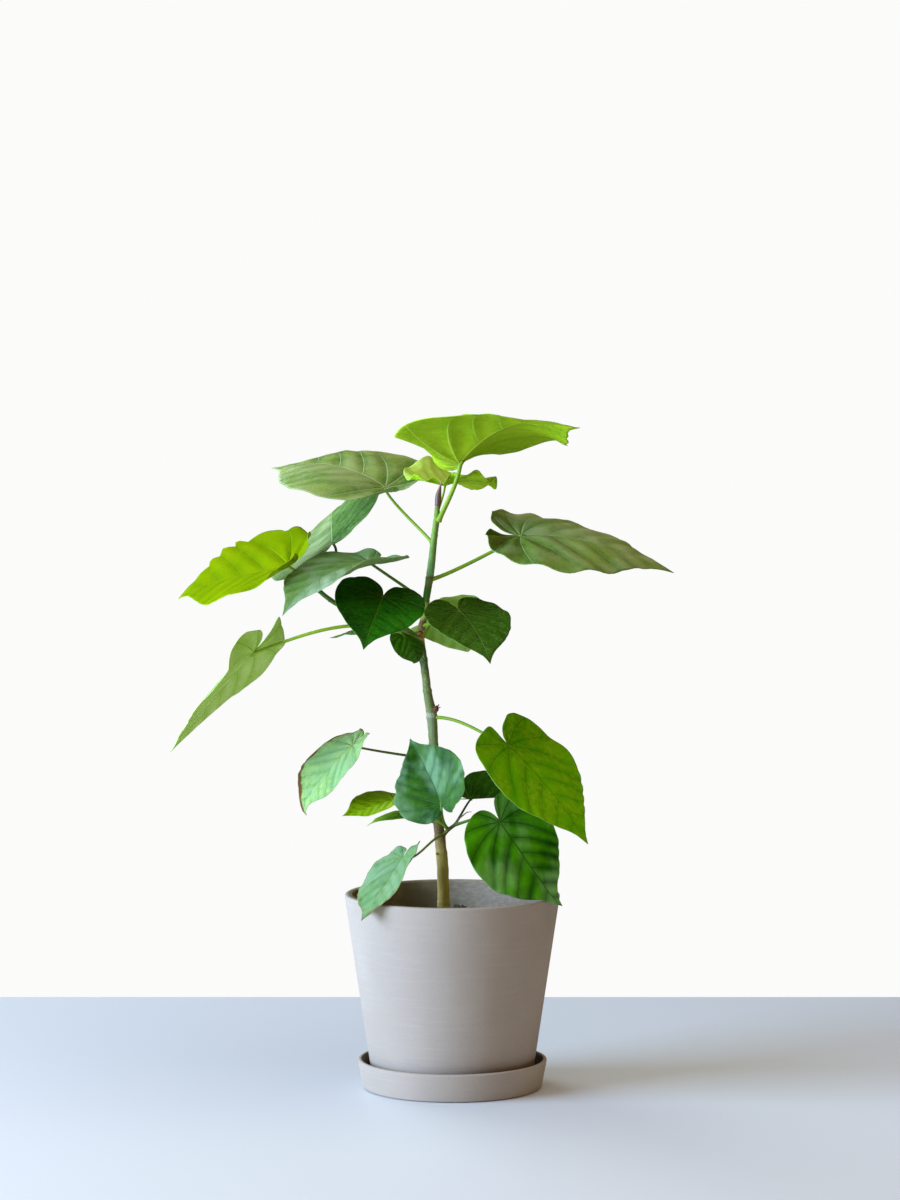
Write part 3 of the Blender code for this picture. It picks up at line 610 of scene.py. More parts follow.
side.data.shade_smooth()
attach(side, "root")
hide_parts("side_shoot")
bud = tube("brown_bud", [(BUD.at(i / 30)[0], 1.12 * BUD.at(i / 30)[1]) for i in range(31)], 6)
bud_skin = Finish("bud_scale", 0.4)
tone = bud_skin.mix(bud_skin.noise(120.0, 3.0, (1, 1, 0.3)), (0.10, 0.035, 0.035), (0.24, 0.13, 0.07))
height = bud_skin.node("ShaderNodeSeparateXYZ")
bud_skin.link(bud_skin.place(), height.inputs[0])
bud_skin.color(bud_skin.mix(bud_skin.ramp(height.outputs["Z"], 0.577, 0.586), tone, (0.42, 0.20, 0.17)))
bud_skin.bump(bud_skin.noise(300.0, 3.0, (1, 1, 0.1)), 0.0004, 0.6)
bud.data.materials.clear()
bud.data.materials.append(bud_skin.material)
bud.data.shade_smooth()
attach(bud, "root")
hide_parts("leader_bud")


# Leaves: thin heart-shaped blades with a drip tip, quilted between sunken veins, each on a
# round stalk. Young ones are lime, old ones dark green, and all are paler below.
SIDE_AT_TIP = 0.84
SIDE_AT_SINUS = 0.14
DRIP_TIP = 0.16
DRIP_TIP_SPREAD = radians(5)
SINUS_SPREAD = radians(7)
SINUS_EDGE = radians(175.5)
SINUS_FLOOR = radians(1.5)
RING_SPREAD = 0.8
LOBE_REACH = 0.2
CURL_START = 0.7
FINE_THICKNESS = 0.0035
FOOT_SWELLING = 1.25
FOOT_SUNK = 0.8
VEIN_GAP = 0.175
VEIN_STAGGER = 1.13
BASAL_GAP = 0.52
FIRST_BASAL = 1.068
BASAL_BEND = 0.475
SPOKES = 120
RINGS = 30
LIME_STALK = ((0.30, 0.46, 0.02), (0.20, 0.36, 0.015))
GREEN_STALK = ((0.12, 0.25, 0.02), (0.07, 0.17, 0.015))
OLIVE_STALK = ((0.22, 0.28, 0.04), (0.13, 0.19, 0.03))
PALE_UNDER = ((0.20, 0.36, 0.09), (0.27, 0.44, 0.13), (0.40, 0.52, 0.18))
LIME_UNDER = ((0.25, 0.50, 0.003), (0.42, 0.66, 0.012), (0.62, 0.78, 0.08))
SAGE_UNDER = ((0.34, 0.60, 0.06), (0.50, 0.76, 0.18), (0.24, 0.44, 0.06))
LEAF_DEFAULTS = {
    "width": 0.97, "arch": 0, "curl": 0, "lobes": 0, "fold": (0, 0), "cup": (0, 0), "twist": 0,
    "open": 0.0, "lift": 0, "roll": 0, "stalk": 0.0017, "foot": 0.5, "spring": 45, "rise": 40, "bow": 0.35,
    "quilt": 0.009, "wave": 0.007, "waves": 7, "scallop": (0.014, 0.014), "ragged": 0.016, "lobe": (1.0, 1.0), "crumple": 0.012,
    "gloss": 0.42, "shine": 0.12, "glow": 0.6, "relief": 0.0007, "strength": 0.7, "net": 0.14, "rows": 0.5, "bloom": None, "mottle": None, "edge": None,
    "under": PALE_UNDER, "stalk_tones": LIME_STALK, "grain": 0.2,
}


def outline(angle):
    """Distance from the leaf stalk to the margin, at an angle from the tip."""
    side = SIDE_AT_TIP - (SIDE_AT_TIP - SIDE_AT_SINUS) * angle / pi
    side += DRIP_TIP * exp(-angle / DRIP_TIP_SPREAD)
    return side * (1 - exp(-max(SINUS_EDGE - angle, SINUS_FLOOR) / SINUS_SPREAD))


def across(distance, fold, cup, length):
    """Sideways reach and lift of a point at this distance from the midrib."""
    if abs(cup) < 0.001:
        return distance * cos(fold), distance * sin(fold)
    curve = cup / (0.5 * length)
    end = fold + curve * distance
    return (sin(end) - sin(fold)) / curve, (cos(fold) - cos(end)) / curve


def along(distance, spec, steps=24):
    """Forward reach, lift and slope of the midrib at this distance from the stalk."""
    arch, curl, lobes = (radians(spec[key]) for key in ("arch", "curl", "lobes"))
    reach, lift, slope = 0.0, 0.0, 0.0
    step = distance / steps
    for i in range(steps):
        middle = step * (i + 0.5) / spec["length"]
        if middle < 0.0:
            slope = lobes * -middle / LOBE_REACH
        else:
            slope = arch * middle + curl * (max(middle - CURL_START, 0.0) / (1.0 - CURL_START)) ** 2
        reach += cos(slope) * step
        lift -= sin(slope) * step
    return reach, lift, slope


def leaf_frame(spec):
    """Forward, left and upward directions of a leaf at its stalk."""
    heading, pitch, roll = (radians(spec[key]) for key in ("heading", "pitch", "roll"))
    forward = Vector((cos(pitch) * cos(heading), cos(pitch) * sin(heading), sin(pitch)))
    level_left = Vector((-sin(heading), cos(heading), 0.0))
    level_up = forward.cross(level_left)
    up = level_up * cos(roll) + level_left * sin(roll)
    left = level_left * cos(roll) - level_up * sin(roll)
    return forward, left, up


def puff(u, v):
    """How far the blade stands up between its sunken veins, from 0 on a vein to 1."""
    gap = VEIN_GAP * (VEIN_STAGGER if v < 0.0 else 1.0)
    v = abs(v)
    row = u - 0.55 * v - 0.9 * v * v
    rib = 1.0 - exp(-((v / 0.045) ** 2))
    if row > 0.0:
        return abs(sin(pi * row / gap)) ** 1.3 * rib
    reach = sqrt(u * u + v * v)
    fan = atan2(v, u) + BASAL_BEND * reach - FIRST_BASAL
    return abs(sin(pi * fan / BASAL_GAP)) ** 1.3 * rib * min(1.0, reach / 0.18)


def blade_point(spec, side, share):
    """A point of the leaf's upper face, and where it is on the flat leaf."""
    length = spec["length"]
    angle = abs(side) * pi
    reach = outline(angle) * share
    puffed = puff(reach * cos(side * pi), reach * sin(side * pi))
    ends = min(1.0, 6 * abs(side), 6 * (1 - abs(side)))
    half = 0 if side > 0 else 1
    wander = noise.noise(Vector((4.5 * side * pi, 30.0 * length, 0.0)))
    margin = spec["scallop"][half] * (sqrt(puffed) - 0.9) + spec["ragged"] * wander
    reach *= length * (1.0 + margin * share ** 5 * min(ends, 4 * abs(side)))
    reach *= 1.0 - (1.0 - spec["lobe"][half]) * max(0.0, 2 * abs(side) - 1.0)
    on_midrib = reach * cos(angle)
    off_midrib = reach * sin(angle) * spec["width"]
    opened = 1.0 - spec["open"] * max(on_midrib / length, 0.0)
    behind = min(max(-on_midrib / (LOBE_REACH * length), 0.0), 1.0)
    fold = radians(spec["fold"][half]) * opened + radians(spec["lift"]) * behind
    cup = radians(spec["cup"][half])
    sideways, lift = across(off_midrib, fold, cup, length)
    sideways = sideways if side > 0 else -sideways
    phase = 1.3 if side > 0 else 4.0
    spot = Vector((5.0 * on_midrib / length, 5.0 * sideways / length, 90.0 * length))
    fullness = 1.0 + 0.9 * noise.noise(spot * 0.7)
    lift += spec["quilt"] * length * (puffed - 0.6) * fullness * (0.4 + 0.6 * ends) * (1.0 - 0.5 * share ** 2)
    lift += spec["wave"] * length * share ** 4 * sin(spec["waves"] * abs(side) * pi + phase) * ends
    lift += spec["crumple"] * length * (noise.noise(spot) + 0.4 * noise.noise(spot * 2.6)) * share
    turn = radians(spec["twist"]) * on_midrib / length
    sideways, lift = sideways * cos(turn) - lift * sin(turn), sideways * sin(turn) + lift * cos(turn)
    forward_reach, drop, slope = along(on_midrib, spec)
    forward, left, up = leaf_frame(spec)
    place = (
        Vector(spec["base"])
        + forward * (forward_reach + sin(slope) * lift)
        + left * sideways
        + up * (drop + cos(slope) * lift)
    )
    flat = (on_midrib / length, off_midrib / length if side > 0 else -off_midrib / length)
    return place, flat


def blade(name, spec):
    """The blade as a fine fan of spokes, with the flat leaf and the margin kept as UV maps."""
    deselect()
    bpy.ops.mesh.primitive_grid_add(x_subdivisions=SPOKES, y_subdivisions=RINGS, size=2.0)
    piece = bpy.context.object
    piece.name = name
    flats = []
    for vertex in piece.data.vertices:
        side = -vertex.co.x
        side = (abs(side) ** 1.1) * (1 if side > 0 else -1)
        share = (0.5 * (vertex.co.y + 1.0)) ** RING_SPREAD
        vertex.co, flat = blade_point(spec, side, share)
        flats.append((*flat, share, abs(side)))
    layer = piece.data.uv_layers.active or piece.data.uv_layers.new(name="UVMap")
    margin = piece.data.uv_layers.new(name="margin")
    for loop in piece.data.loops:
        u, v, share, side = flats[loop.vertex_index]
        layer.data[loop.index].uv = (0.5 * u + 0.25, 0.5 * v + 0.5)
        margin.data[loop.index].uv = (share, side)
    bpy.ops.object.mode_set(mode="EDIT")
    bpy.ops.mesh.select_all(action="SELECT")
    bpy.ops.mesh.remove_doubles(threshold=0.000005)
    bpy.ops.object.mode_set(mode="OBJECT")
    wall = piece.modifiers.new("thickness", "SOLIDIFY")
    wall.thickness = FINE_THICKNESS * spec["length"]
    wall.offset = -1.0
    wall.material_offset = 1
    wall.material_offset_rim = 1
    piece.data.materials.append(spec["skins"][0])
    piece.data.materials.append(spec["skins"][1])
    bpy.ops.object.modifier_apply(modifier="thickness")
    piece.data.shade_smooth()
    return piece


def heading_vector(heading):
    """The level direction of a heading in degrees."""
    return Vector((cos(radians(heading)), sin(radians(heading)), 0.0))


def bow(start, leaving, arriving, end, fullness, share):
    """A point at that share of one smooth bow between two places with given directions."""
    handle = fullness * (end - start).length
    first, second = start + leaving * handle, end - arriving * handle
    left = 1.0 - share
    return start * left ** 3 + first * 3 * share * left ** 2 + second * 3 * share ** 2 * left + end * share ** 3


def stalk(name, spec, steps=36):
    """The round stalk, swollen at its foot, from just off its limb to the underside of the blade."""
    radius = spec["stalk"]
    centre, limb_radius, direction = spec["limb"].at(spec["foot"])
    forward, left, up = leaf_frame(spec)
    away = heading_vector(spec["out"])
    away = (away - direction * away.dot(direction)).normalized()
    spring, rise = radians(spec["spring"]), radians(spec["rise"])
    start = centre + away * (limb_radius + radius * (FOOT_SWELLING * abs(sin(spring)) - FOOT_SUNK))
    leaving = away * cos(spring) + direction * sin(spring)
    start -= leaving * 0.0012
    arriving = forward * cos(rise) + up * sin(rise)
    end = Vector(spec["base"]) - up * 0.6 * radius
    rings = []
    for i in range(steps + 1):
        share = i / steps
        swelling = (FOOT_SWELLING - 1.0) * exp(-share / 0.05) + 0.12 * exp(-(1.0 - share) / 0.04)
        rings.append((bow(start, leaving, arriving, end, spec["bow"], share), radius * (0.98 - 0.22 * share + swelling)))
    rings.append((end + forward * 0.03 * spec["length"] - up * 0.1 * radius, 0.62 * radius))
    piece = tube(name, rings, 3)
    piece.data.materials.clear()
    for skin in spec["skins"][:2]:
        piece.data.materials.append(skin)
    piece.data.materials.append(spec["skins"][2])
    for face in piece.data.polygons:
        face.material_index = 2
    for layer in ("UVMap", "margin"):
        if layer not in piece.data.uv_layers:
            piece.data.uv_layers.new(name=layer)
    piece.data.shade_smooth()
    return piece


def blade_finish(name, tones, spec, below=False):
    """A leaf skin whose midrib, side veins and fine net are drawn from the flat leaf's UV map.

    tones are the deep, bright and vein colours. The sheen entry is painted highlight: a pale bluish reflection of
    window light in soft patches;
    edge is a tone along the margin, each as (colour, share on the left half, share on the right).
    mottle is a tone in small blots, as (colour, share)."""
    deep, bright, vein = tones
    bloom, mottle, edge = spec["bloom"], spec["mottle"], spec["edge"]
    skin = Finish(name, spec["gloss"], spec["shine"])
    skin.shader.inputs["Subsurface Weight"].default_value = spec["glow"]
    skin.shader.inputs["Subsurface Radius"].default_value = (1.0, 1.0, 0.4)
    skin.shader.inputs["Subsurface Scale"].default_value = 0.0002
    uv = skin.node("ShaderNodeUVMap", uv_map="UVMap").outputs[0]
    split = skin.node("ShaderNodeSeparateXYZ")
    skin.link(uv, split.inputs[0])
    u = skin.math("MULTIPLY", skin.math("SUBTRACT", split.outputs["X"], 0.25), 2.0)
    v = skin.math("MULTIPLY", skin.math("SUBTRACT", split.outputs["Y"], 0.5), 2.0)
    off = skin.math("ABSOLUTE", v)
    wobble = skin.math("MULTIPLY", skin.math("SUBTRACT", skin.noise(38.0, 2.0), 0.5), 0.045)
    row = skin.math("SUBTRACT", u, skin.math("MULTIPLY", off, 0.55))
    row = skin.math("SUBTRACT", row, skin.math("MULTIPLY", skin.math("MULTIPLY", off, off), 0.9))
    row = skin.math("ADD", row, skin.math("MULTIPLY", wobble, off))
    gap = skin.math("ADD", skin.math("MULTIPLY", skin.math("LESS_THAN", v, 0.0), VEIN_GAP * (VEIN_STAGGER - 1.0)), VEIN_GAP)
    cell = skin.math("SUBTRACT", skin.math("FRACT", skin.math("ADD", skin.math("DIVIDE", row, gap), 0.5)), 0.5)
    side_vein = skin.math("MULTIPLY", skin.math("ABSOLUTE", cell), gap)
    reach = skin.math("SQRT", skin.math("ADD", skin.math("MULTIPLY", u, u), skin.math("MULTIPLY", v, v)))
    angle = skin.math("SUBTRACT", skin.math("ARCTAN2", off, u), FIRST_BASAL)
    angle = skin.math("ADD", angle, skin.math("MULTIPLY", reach, BASAL_BEND))
    fan = skin.math("SUBTRACT", skin.math("FRACT", skin.math("ADD", skin.math("DIVIDE", angle, BASAL_GAP), 0.5)), 0.5)
    basal_vein = skin.math("MULTIPLY", skin.math("MULTIPLY", skin.math("ABSOLUTE", fan), BASAL_GAP), reach)
    in_rows = skin.ramp(row, -0.004, 0.004)
    distance = skin.math("ADD", skin.math("MULTIPLY", side_vein, in_rows),
                         skin.math("MULTIPLY", basal_vein, skin.math("SUBTRACT", 1.0, in_rows)))
    width = skin.math("SUBTRACT", 0.0085, skin.math("MULTIPLY", reach, 0.007))
    lines = skin.math("SUBTRACT", 1.0, skin.math("DIVIDE", distance, width), clamp=True)
    rib = skin.math("SUBTRACT", 1.0, skin.math("DIVIDE", off, skin.math("SUBTRACT", 0.013, skin.math("MULTIPLY", u, 0.009))), clamp=True)
    net = skin.node("ShaderNodeTexVoronoi", feature="DISTANCE_TO_EDGE", Scale=34.0)
    skin.link(uv, net.inputs["Vector"])
    mesh_lines = skin.math("SUBTRACT", 1.0, skin.math("DIVIDE", net.outputs["Distance"], 0.06), clamp=True)
    veins = skin.math("MAXIMUM", skin.ramp(lines, 0.05, 0.75), skin.ramp(rib, 0.05, 0.6))
    cloud = skin.ramp(skin.noise(26.0, 4.0), 0.32, 0.68)
    between = skin.ramp(distance, 0.0, 0.5 * VEIN_GAP)
    share = skin.math("MULTIPLY", between, spec["rows"])
    tone = skin.mix(skin.math("ADD", share, skin.math("MULTIPLY", cloud, 1.0 - spec["rows"])), deep, bright)
    # Painted highlight: a pale bluish sheen of reflected window light, laid on in soft patches.
    if bloom:
        patch = skin.ramp(skin.noise(32.0, 3.0, (1.0, 1.0, 0.6)), 0.42, 0.61)
        patch = skin.math("MULTIPLY", patch, skin.math("ADD", share, 1.0 - spec["rows"]))
        half = skin.math("ADD", skin.math("MULTIPLY", skin.ramp(v, -0.02, 0.02), bloom[1] - bloom[2]), bloom[2])
        patch = skin.math("SUBTRACT", skin.math("ADD", patch, half), 0.4, clamp=True)
        tone = skin.mix(skin.math("MULTIPLY", patch, half), tone, bloom[0])
    if mottle:
        blot = skin.ramp(skin.noise(190.0, 6.0), 0.42, 0.60)
        blot = skin.math("MULTIPLY", blot, skin.ramp(skin.noise(30.0, 3.0), 0.34, 0.58))
        tone = skin.mix(skin.math("MULTIPLY", blot, mottle[1]), tone, mottle[0])
    fine = skin.ramp(skin.noise(260.0, 4.0), 0.42, 0.68)
    tone = skin.mix(skin.math("MULTIPLY", fine, spec["grain"]), tone, vein)
    tone = skin.mix(skin.math("MULTIPLY", veins, spec["strength"]), tone, vein)
    tone = skin.mix(skin.math("MULTIPLY", mesh_lines, spec["net"]), tone, vein)
    if edge:
        rim = skin.node("ShaderNodeSeparateXYZ")
        skin.link(skin.node("ShaderNodeUVMap", uv_map="margin").outputs[0], rim.inputs[0])
        ragged = skin.math("ADD", rim.outputs["X"], skin.math("MULTIPLY", skin.math("SUBTRACT", skin.noise(60.0, 4.0), 0.5), 0.16))
        half = skin.math("ADD", skin.math("MULTIPLY", skin.math("GREATER_THAN", v, 0.0), edge[1] - edge[2]), edge[2])
        tone = skin.mix(skin.math("MULTIPLY", skin.ramp(ragged, 0.925, 0.975), half), tone, edge[0])
    skin.color(tone)
    sign = 1.0 if below else -1.0
    swell = skin.math("ADD", skin.math("MULTIPLY", between, skin.ramp(off, 0.5, 0.05)), skin.noise(75.0, 3.0))
    height = skin.math("ADD", skin.math("MULTIPLY", veins, 0.6 * sign), skin.math("MULTIPLY", swell, -0.4 * sign))
    height = skin.math("ADD", height, skin.math("MULTIPLY", mesh_lines, 0.10 * sign))
    skin.bump(height, spec["relief"], 0.8)
    return skin.material


def stalk_finish(name, tone, shade):
    """A smooth green stalk with long faint streaks."""
    skin = Finish(name, 0.45, 0.2)
    skin.color(skin.mix(skin.noise(60.0, 2.0), tone, shade))
    return skin.material


def leaf(node, **sizes):
    """A whole leaf that stands for the node of that name."""
    spec = dict(LEAF_DEFAULTS, **sizes)
    name = node.replace("leaf_", "") + "_leaf"
    spec["skins"] = (
        blade_finish(name + "_upper", spec["upper"], spec),
        blade_finish(name + "_under", spec["under"], dict(spec, gloss=0.6, shine=0.05, bloom=None, mottle=None), True),
        stalk_finish(name + "_stalk", *spec["stalk_tones"]),
    )
    piece = joined(name, [blade(name, spec), stalk(name + "_stalk", spec)])
    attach(piece, "root")
    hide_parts(node)
    return piece


# A sheen entry on a leaf adds painted highlight: pale bluish reflected window light in patches.
leaf("leaf_crown", limb=LEADER, foot=LEADER.share_at_height(0.5505), out=-50, spring=62, rise=35,
     stalk=0.0026, base=(0.007, -0.010, 0.605), heading=-37, pitch=47, roll=7, length=0.161,
     width=0.96, arch=70, curl=-16, lobes=72, lift=22, fold=(27, 28), cup=(-26, -14), open=1.75,
     twist=-9, wave=0.02,
     upper=((0.20, 0.42, 0.003), (0.32, 0.55, 0.010), (0.46, 0.64, 0.05)),
     under=((0.25, 0.48, 0.003), (0.41, 0.62, 0.012), (0.62, 0.76, 0.08)), scallop=(0.06, 0.04),
     ragged=0.015, quilt=0.012, glow=0.0)
leaf("leaf_young", limb=LEADER, foot=LEADER.share_at_height(0.5590), out=70, spring=50,
     stalk=0.0013, base=(-0.0072, 0.016, 0.5829), heading=75, pitch=6, roll=8, length=0.089,
     arch=23, curl=-17, lobes=51, fold=(23, 10), cup=(-2, -13), open=-0.4, twist=34, wave=0.04,
     waves=9, crumple=0.03,
     upper=((0.33, 0.50, 0.01), (0.53, 0.72, 0.08), (0.60, 0.78, 0.16)), under=LIME_UNDER,
     bloom=((0.55, 0.74, 0.22), 0.3, 0.3))
leaf("leaf_upper_left", limb=LEADER, foot=LEADER.share_at_height(0.5290), out=142, spring=42,
     rise=60, base=(-0.0654, 0.04, 0.581), heading=151, pitch=29, roll=19, length=0.147, width=0.98,
     arch=52, curl=-23, lobes=66, fold=(15, 4), cup=(-14, -16), open=1.4,
     upper=((0.07, 0.17, 0.006), (0.28, 0.38, 0.065), (0.40, 0.50, 0.21)),
     bloom=((0.37, 0.43, 0.18), 0.5, 0.35), quilt=0.009, strength=0.75, glow=0.35, relief=0.0012,
     shine=0.06, bow=0.16)
leaf("leaf_upper_right", limb=LEADER, foot=LEADER.share_at_height(0.4935), out=0, spring=22,
     rise=30, stalk=0.0021, base=(0.066, 0.0, 0.536), heading=-6, pitch=2, roll=-17, length=0.154,
     width=0.98, arch=35, curl=-10, lobes=34, fold=(12, 8), cup=(-32, -18), open=1.3, twist=-3,
     wave=0.012,
     upper=((0.06, 0.17, 0.005), (0.23, 0.315, 0.045), (0.33, 0.41, 0.16)),
     bloom=((0.37, 0.41, 0.18), 0.7, 0.4), scallop=(0.02, 0.04), quilt=0.013, strength=0.7,
     glow=0.35, relief=0.0012, waves=13, shine=0.08, bow=0.18)
leaf("leaf_left_front", limb=LEADER, foot=LEADER.share_at_height(0.4725), out=209, spring=28,
     rise=35, base=(-0.080, -0.030, 0.512), heading=218, pitch=-4, length=0.116, width=0.98,
     arch=40, curl=13, lobes=19, fold=(-10, 5), cup=(37, 2), open=0.33, twist=6,
     upper=((0.045, 0.12, 0.012), (0.12, 0.205, 0.045), (0.18, 0.28, 0.08)),
     stalk_tones=GREEN_STALK, bloom=((0.24, 0.37, 0.19), 0.8, 0.3), strength=0.5, wave=0.014,
     glow=0.3, relief=0.0009, bow=0.2)
leaf("leaf_right_centre", limb=LEADER, foot=LEADER.share_at_height(0.4490), out=-48, spring=25,
     rise=70, base=(0.007, -0.040, 0.465), heading=-63, pitch=-20, length=0.08, arch=30, curl=10,
     lobes=30, fold=(9, 0), cup=(0, -3), open=0.2, twist=-1,
     upper=((0.018, 0.098, 0.001), (0.055, 0.160, 0.003), (0.18, 0.30, 0.05)), strength=0.9,
     net=0.5, crumple=0.02, glow=0.25, relief=0.0016, shine=0.06)
leaf("leaf_left_back", limb=LEFT_BOUGH, foot=0.72, out=80, spring=30, rise=60,
     base=(-0.1183, 0.070, 0.5255), heading=93, pitch=12, roll=43, length=0.14, width=0.98, arch=2,
     curl=10, lobes=3, fold=(1, 1), cup=(14, 5), twist=-1,
     upper=((0.03, 0.09, 0.01), (0.09, 0.18, 0.025), (0.30, 0.43, 0.17)), stalk_tones=GREEN_STALK,
     shine=0.0, bloom=((0.34, 0.40, 0.16), 0.8, 0.2), strength=0.7, glow=0.35, relief=0.0012)
leaf("leaf_left_lime", limb=LEFT_BOUGH, foot=0.93, out=230, spring=20, rise=50,
     base=(-0.159, -0.002, 0.507), heading=159, pitch=-12, roll=24, length=0.125, width=0.98,
     arch=5, curl=31, lobes=53, fold=(12, 9), open=0.4, twist=-16, wave=0.016,
     upper=((0.14, 0.24, 0.001), (0.23, 0.32, 0.001), (0.25, 0.34, 0.005)),
     under=((0.30, 0.49, 0.002), (0.49, 0.65, 0.006), (0.68, 0.78, 0.05)), shine=0.0,
     scallop=(0.03, 0.16), quilt=0.013, glow=0.15)
# Its under tones are the paler underside brightened further with painted light shining through the blade, as it has no
# subsurface glow.
leaf("leaf_hanging_left", limb=FORK, foot=0.35, out=208, spring=25, rise=26, bow=0.42, stalk=0.002,
     base=(-0.192, -0.010, 0.423), heading=151, pitch=-46, roll=0, length=0.139, width=0.98, arch=2,
     curl=-6, lobes=-3, lift=19, fold=(-8, 10), cup=(-14, -11), open=-0.6, twist=1,
     upper=((0.16, 0.34, 0.02), (0.26, 0.48, 0.06), (0.24, 0.44, 0.05)),
     under=((0.46, 0.74, 0.09), (0.68, 0.93, 0.25), (0.30, 0.52, 0.07)), shine=0.06,
     stalk_tones=((0.36, 0.52, 0.02), (0.26, 0.42, 0.015)), glow=0.0, scallop=(0.05, 0.06),
     ragged=0.05, relief=0.0002, net=0.05, crumple=0.004, quilt=0.005)
leaf("leaf_centre_dark", limb=FORK, foot=0.5, out=262, spring=15, rise=70,
     base=(-0.066, -0.060, 0.480), heading=257, pitch=-29, roll=12, length=0.084, width=0.98,
     arch=3, curl=26, fold=(8, 14), cup=(-5, 5), twist=3,
     upper=((0.001, 0.050, 0.001), (0.010, 0.130, 0.001), (0.09, 0.20, 0.005)),
     stalk_tones=GREEN_STALK, net=0.2, glow=0.25, relief=0.0014, shine=0.05, rows=0.25)
leaf("leaf_centre_small", limb=FORK, foot=0.1, out=240, spring=-5, rise=60, stalk=0.0013,
     base=(-0.046, -0.028, 0.441), heading=-39, pitch=-26, roll=-19, length=0.038, arch=109,
     curl=63, lobes=-13, lift=5, fold=(-19, -4), cup=(-27, -1), twist=29,
     upper=((0.005, 0.080, 0.001), (0.050, 0.165, 0.002), (0.14, 0.27, 0.01)),
     stalk_tones=GREEN_STALK, quilt=0.02, glow=0.25, relief=0.0012)
leaf("leaf_right_behind", limb=FORK, foot=0.6, out=56, spring=35, stalk=0.0013,
     base=(-0.0122, 0.046, 0.470), heading=-74, pitch=-5, roll=-27, length=0.081, width=0.98,
     arch=114, curl=80, lobes=-10, fold=(-33, -37), cup=(18, 35), open=0.2, twist=-46,
     upper=((0.27, 0.49, 0.04), (0.45, 0.74, 0.17), (0.56, 0.78, 0.26)))
leaf("leaf_left_edge", limb=FORK, foot=0.3, out=118, spring=10, stalk=0.0013,
     base=(-0.078, 0.030, 0.447), heading=189, pitch=-18, roll=4, length=0.044, width=0.98, arch=3,
     curl=-34, lobes=-18, fold=(31, 2), cup=(-78, -2), open=0.3, twist=16,
     upper=((0.13, 0.25, 0.04), (0.27, 0.41, 0.12), (0.38, 0.50, 0.20)))
leaf("leaf_mid_right", limb=TRUNK, foot=TRUNK.share_at_height(0.3590), out=-29, spring=0, rise=25,
     base=(0.055, -0.040, 0.336), heading=-20, pitch=-42, roll=-17, length=0.121, arch=16, curl=3,
     lobes=40, fold=(1, 0), cup=(-2, 2), twist=3,
     upper=((0.11, 0.44, 0.001), (0.24, 0.61, 0.001), (0.08, 0.33, 0.001)), strength=0.5,
     mottle=((0.40, 0.66, 0.01), 0.5), wave=0.012, quilt=0.012, glow=0.35, relief=0.001, shine=0.02)
leaf("leaf_lower_left", limb=TRUNK, foot=TRUNK.share_at_height(0.3186), out=180, spring=12, rise=55,
     stalk=0.0014, base=(-0.097, 0.0, 0.332), heading=192, pitch=-41, roll=3, length=0.086,
     width=0.98, arch=18, curl=72, lobes=-1, fold=(5, 6), cup=(-6, 3), twist=-25,
     upper=((0.17, 0.36, 0.11), (0.31, 0.48, 0.20), (0.22, 0.44, 0.16)), stalk_tones=OLIVE_STALK,
     shine=0.0, strength=0.5, mottle=((0.40, 0.52, 0.12), 0.7), edge=((0.14, 0.07, 0.02), 0, 1.0),
     wave=0.014, crumple=0.02, glow=0.35, relief=0.0016)
leaf("leaf_low_left_under", limb=TRUNK, foot=TRUNK.share_at_height(0.2580), out=199, spring=20,
     stalk=0.0013, base=(-0.043, -0.010, 0.268), heading=214, pitch=-1, roll=31, length=0.046,
     arch=30, curl=6, lobes=-22, fold=(35, -24), cup=(-20, -18), twist=12,
     upper=((0.035, 0.27, 0.001), (0.22, 0.43, 0.001), (0.34, 0.50, 0.01)), shine=0.02)
leaf("leaf_low_left_small", limb=SIDE_SHOOT, foot=0.42, out=198, spring=35, stalk=0.0013,
     base=(-0.0572, -0.018, 0.2816), heading=205, pitch=-13, roll=21, length=0.055, width=0.94,
     arch=4, curl=-6, lobes=-16, fold=(27, -7), open=0.4, twist=-16,
     upper=((0.17, 0.32, 0.001), (0.27, 0.42, 0.001), (0.34, 0.49, 0.01)), shine=0.02)
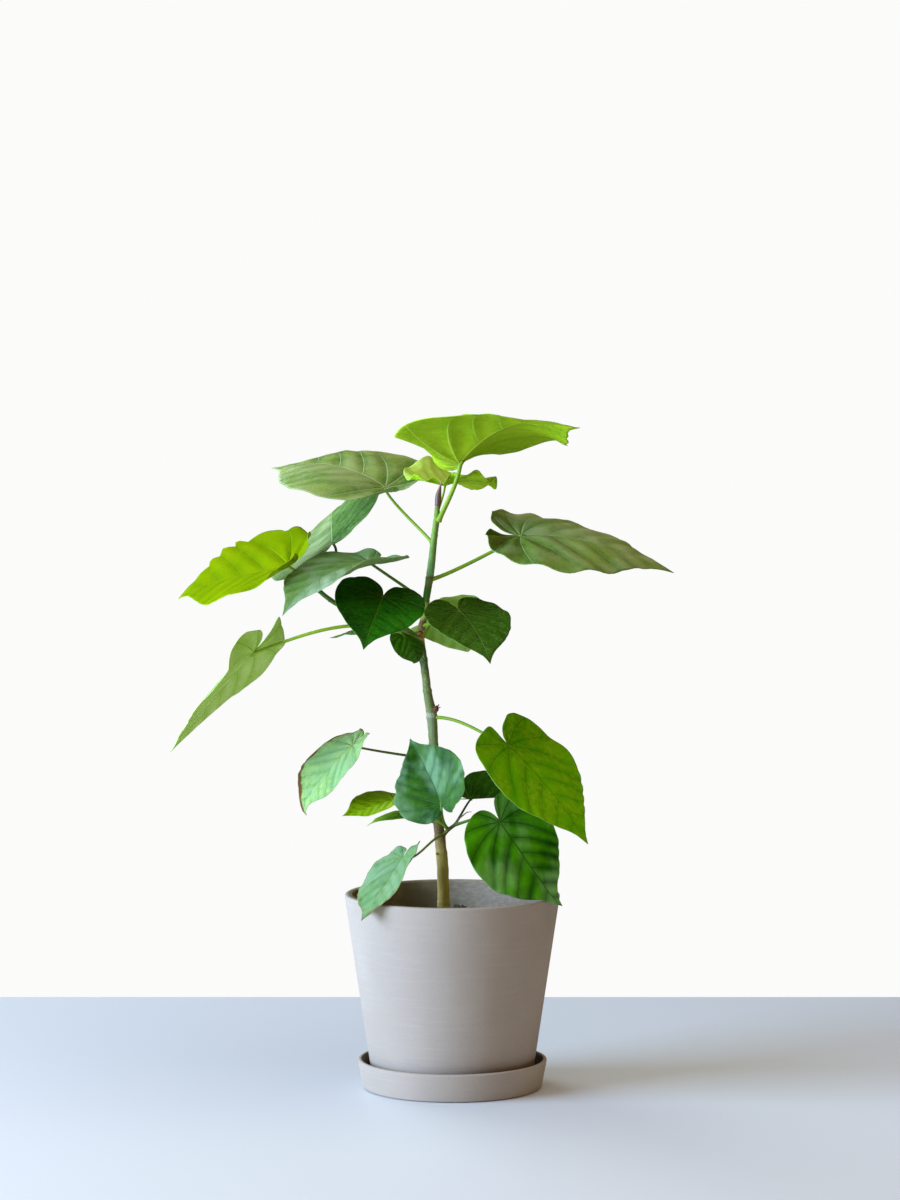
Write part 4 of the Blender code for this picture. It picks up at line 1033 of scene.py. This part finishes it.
leaf("leaf_pot_side", limb=SIDE_SHOOT, foot=0.12, out=225, spring=-10, rise=60, stalk=0.0013,
     base=(-0.048, -0.040, 0.228), heading=232, pitch=-42, roll=-14, length=0.082, width=0.98,
     arch=-4, curl=6, lobes=-12, fold=(10, 6), cup=(26, -15), open=1.5, twist=-5,
     upper=((0.09, 0.23, 0.055), (0.18, 0.31, 0.145), (0.11, 0.24, 0.065)), stalk_tones=OLIVE_STALK,
     shine=0.02, strength=0.5, mottle=((0.30, 0.36, 0.10), 0.3),
     edge=((0.22, 0.11, 0.03), 0.5, 0.3), wave=0.014, crumple=0.03, glow=0.4, relief=0.0005,
     quilt=0.004, lobe=(0.55, 0.9), ragged=0.04, scallop=(0.04, 0.04))
leaf("leaf_lower_front", limb=SIDE_SHOOT, foot=0.56, out=-101, spring=25, rise=-20, stalk=0.0014,
     base=(-0.011, -0.080, 0.2852), heading=114, pitch=49, roll=67, length=0.074, width=1.03,
     arch=-27, curl=26, lobes=6, fold=(32, 3), cup=(-2, -2),
     upper=((0.002, 0.040, 0.001), (0.045, 0.150, 0.004), (0.07, 0.19, 0.05)),
     stalk_tones=GREEN_STALK, strength=0.6, bloom=((0.29, 0.50, 0.26), 0.4, 0.5), quilt=0.005,
     crumple=0.045, shine=0.07, glow=0.25, relief=0.0011, rows=0.3)
leaf("leaf_low_behind", limb=SIDE_SHOOT, foot=0.66, out=72, spring=30, bow=0.12, stalk=0.0013,
     base=(0.018, 0.03, 0.2765), heading=6, pitch=2, roll=43, length=0.053, width=0.98, arch=-3,
     fold=(37, 42),
     upper=((0.001, 0.020, 0.001), (0.006, 0.050, 0.001), (0.03, 0.08, 0.01)),
     under=((0.003, 0.060, 0.001), (0.045, 0.150, 0.003), (0.18, 0.29, 0.03)),
     stalk_tones=((0.04, 0.11, 0.01), (0.03, 0.07, 0.01)), glow=0.2, relief=0.001)
leaf("leaf_lower_right", limb=SHOOT_TIP, foot=0.5, out=-43, spring=15, rise=40, stalk=0.0015,
     base=(0.046, -0.055, 0.264), heading=8, pitch=-56, roll=-61, length=0.101, width=0.98, arch=-3,
     curl=-29, fold=(-3, -2), cup=(-4, -3), open=0.6, twist=-1,
     upper=((0.002, 0.085, 0.001), (0.13, 0.52, 0.004), (0.01, 0.12, 0.003)),
     stalk_tones=GREEN_STALK, strength=0.6, shine=0.06, gloss=0.32, quilt=0.010, crumple=0.02,
     bloom=((0.48, 0.86, 0.30), 0.4, 0.36), glow=0.25, relief=0.0016, rows=0.45, grain=0.05,
     net=0.1)
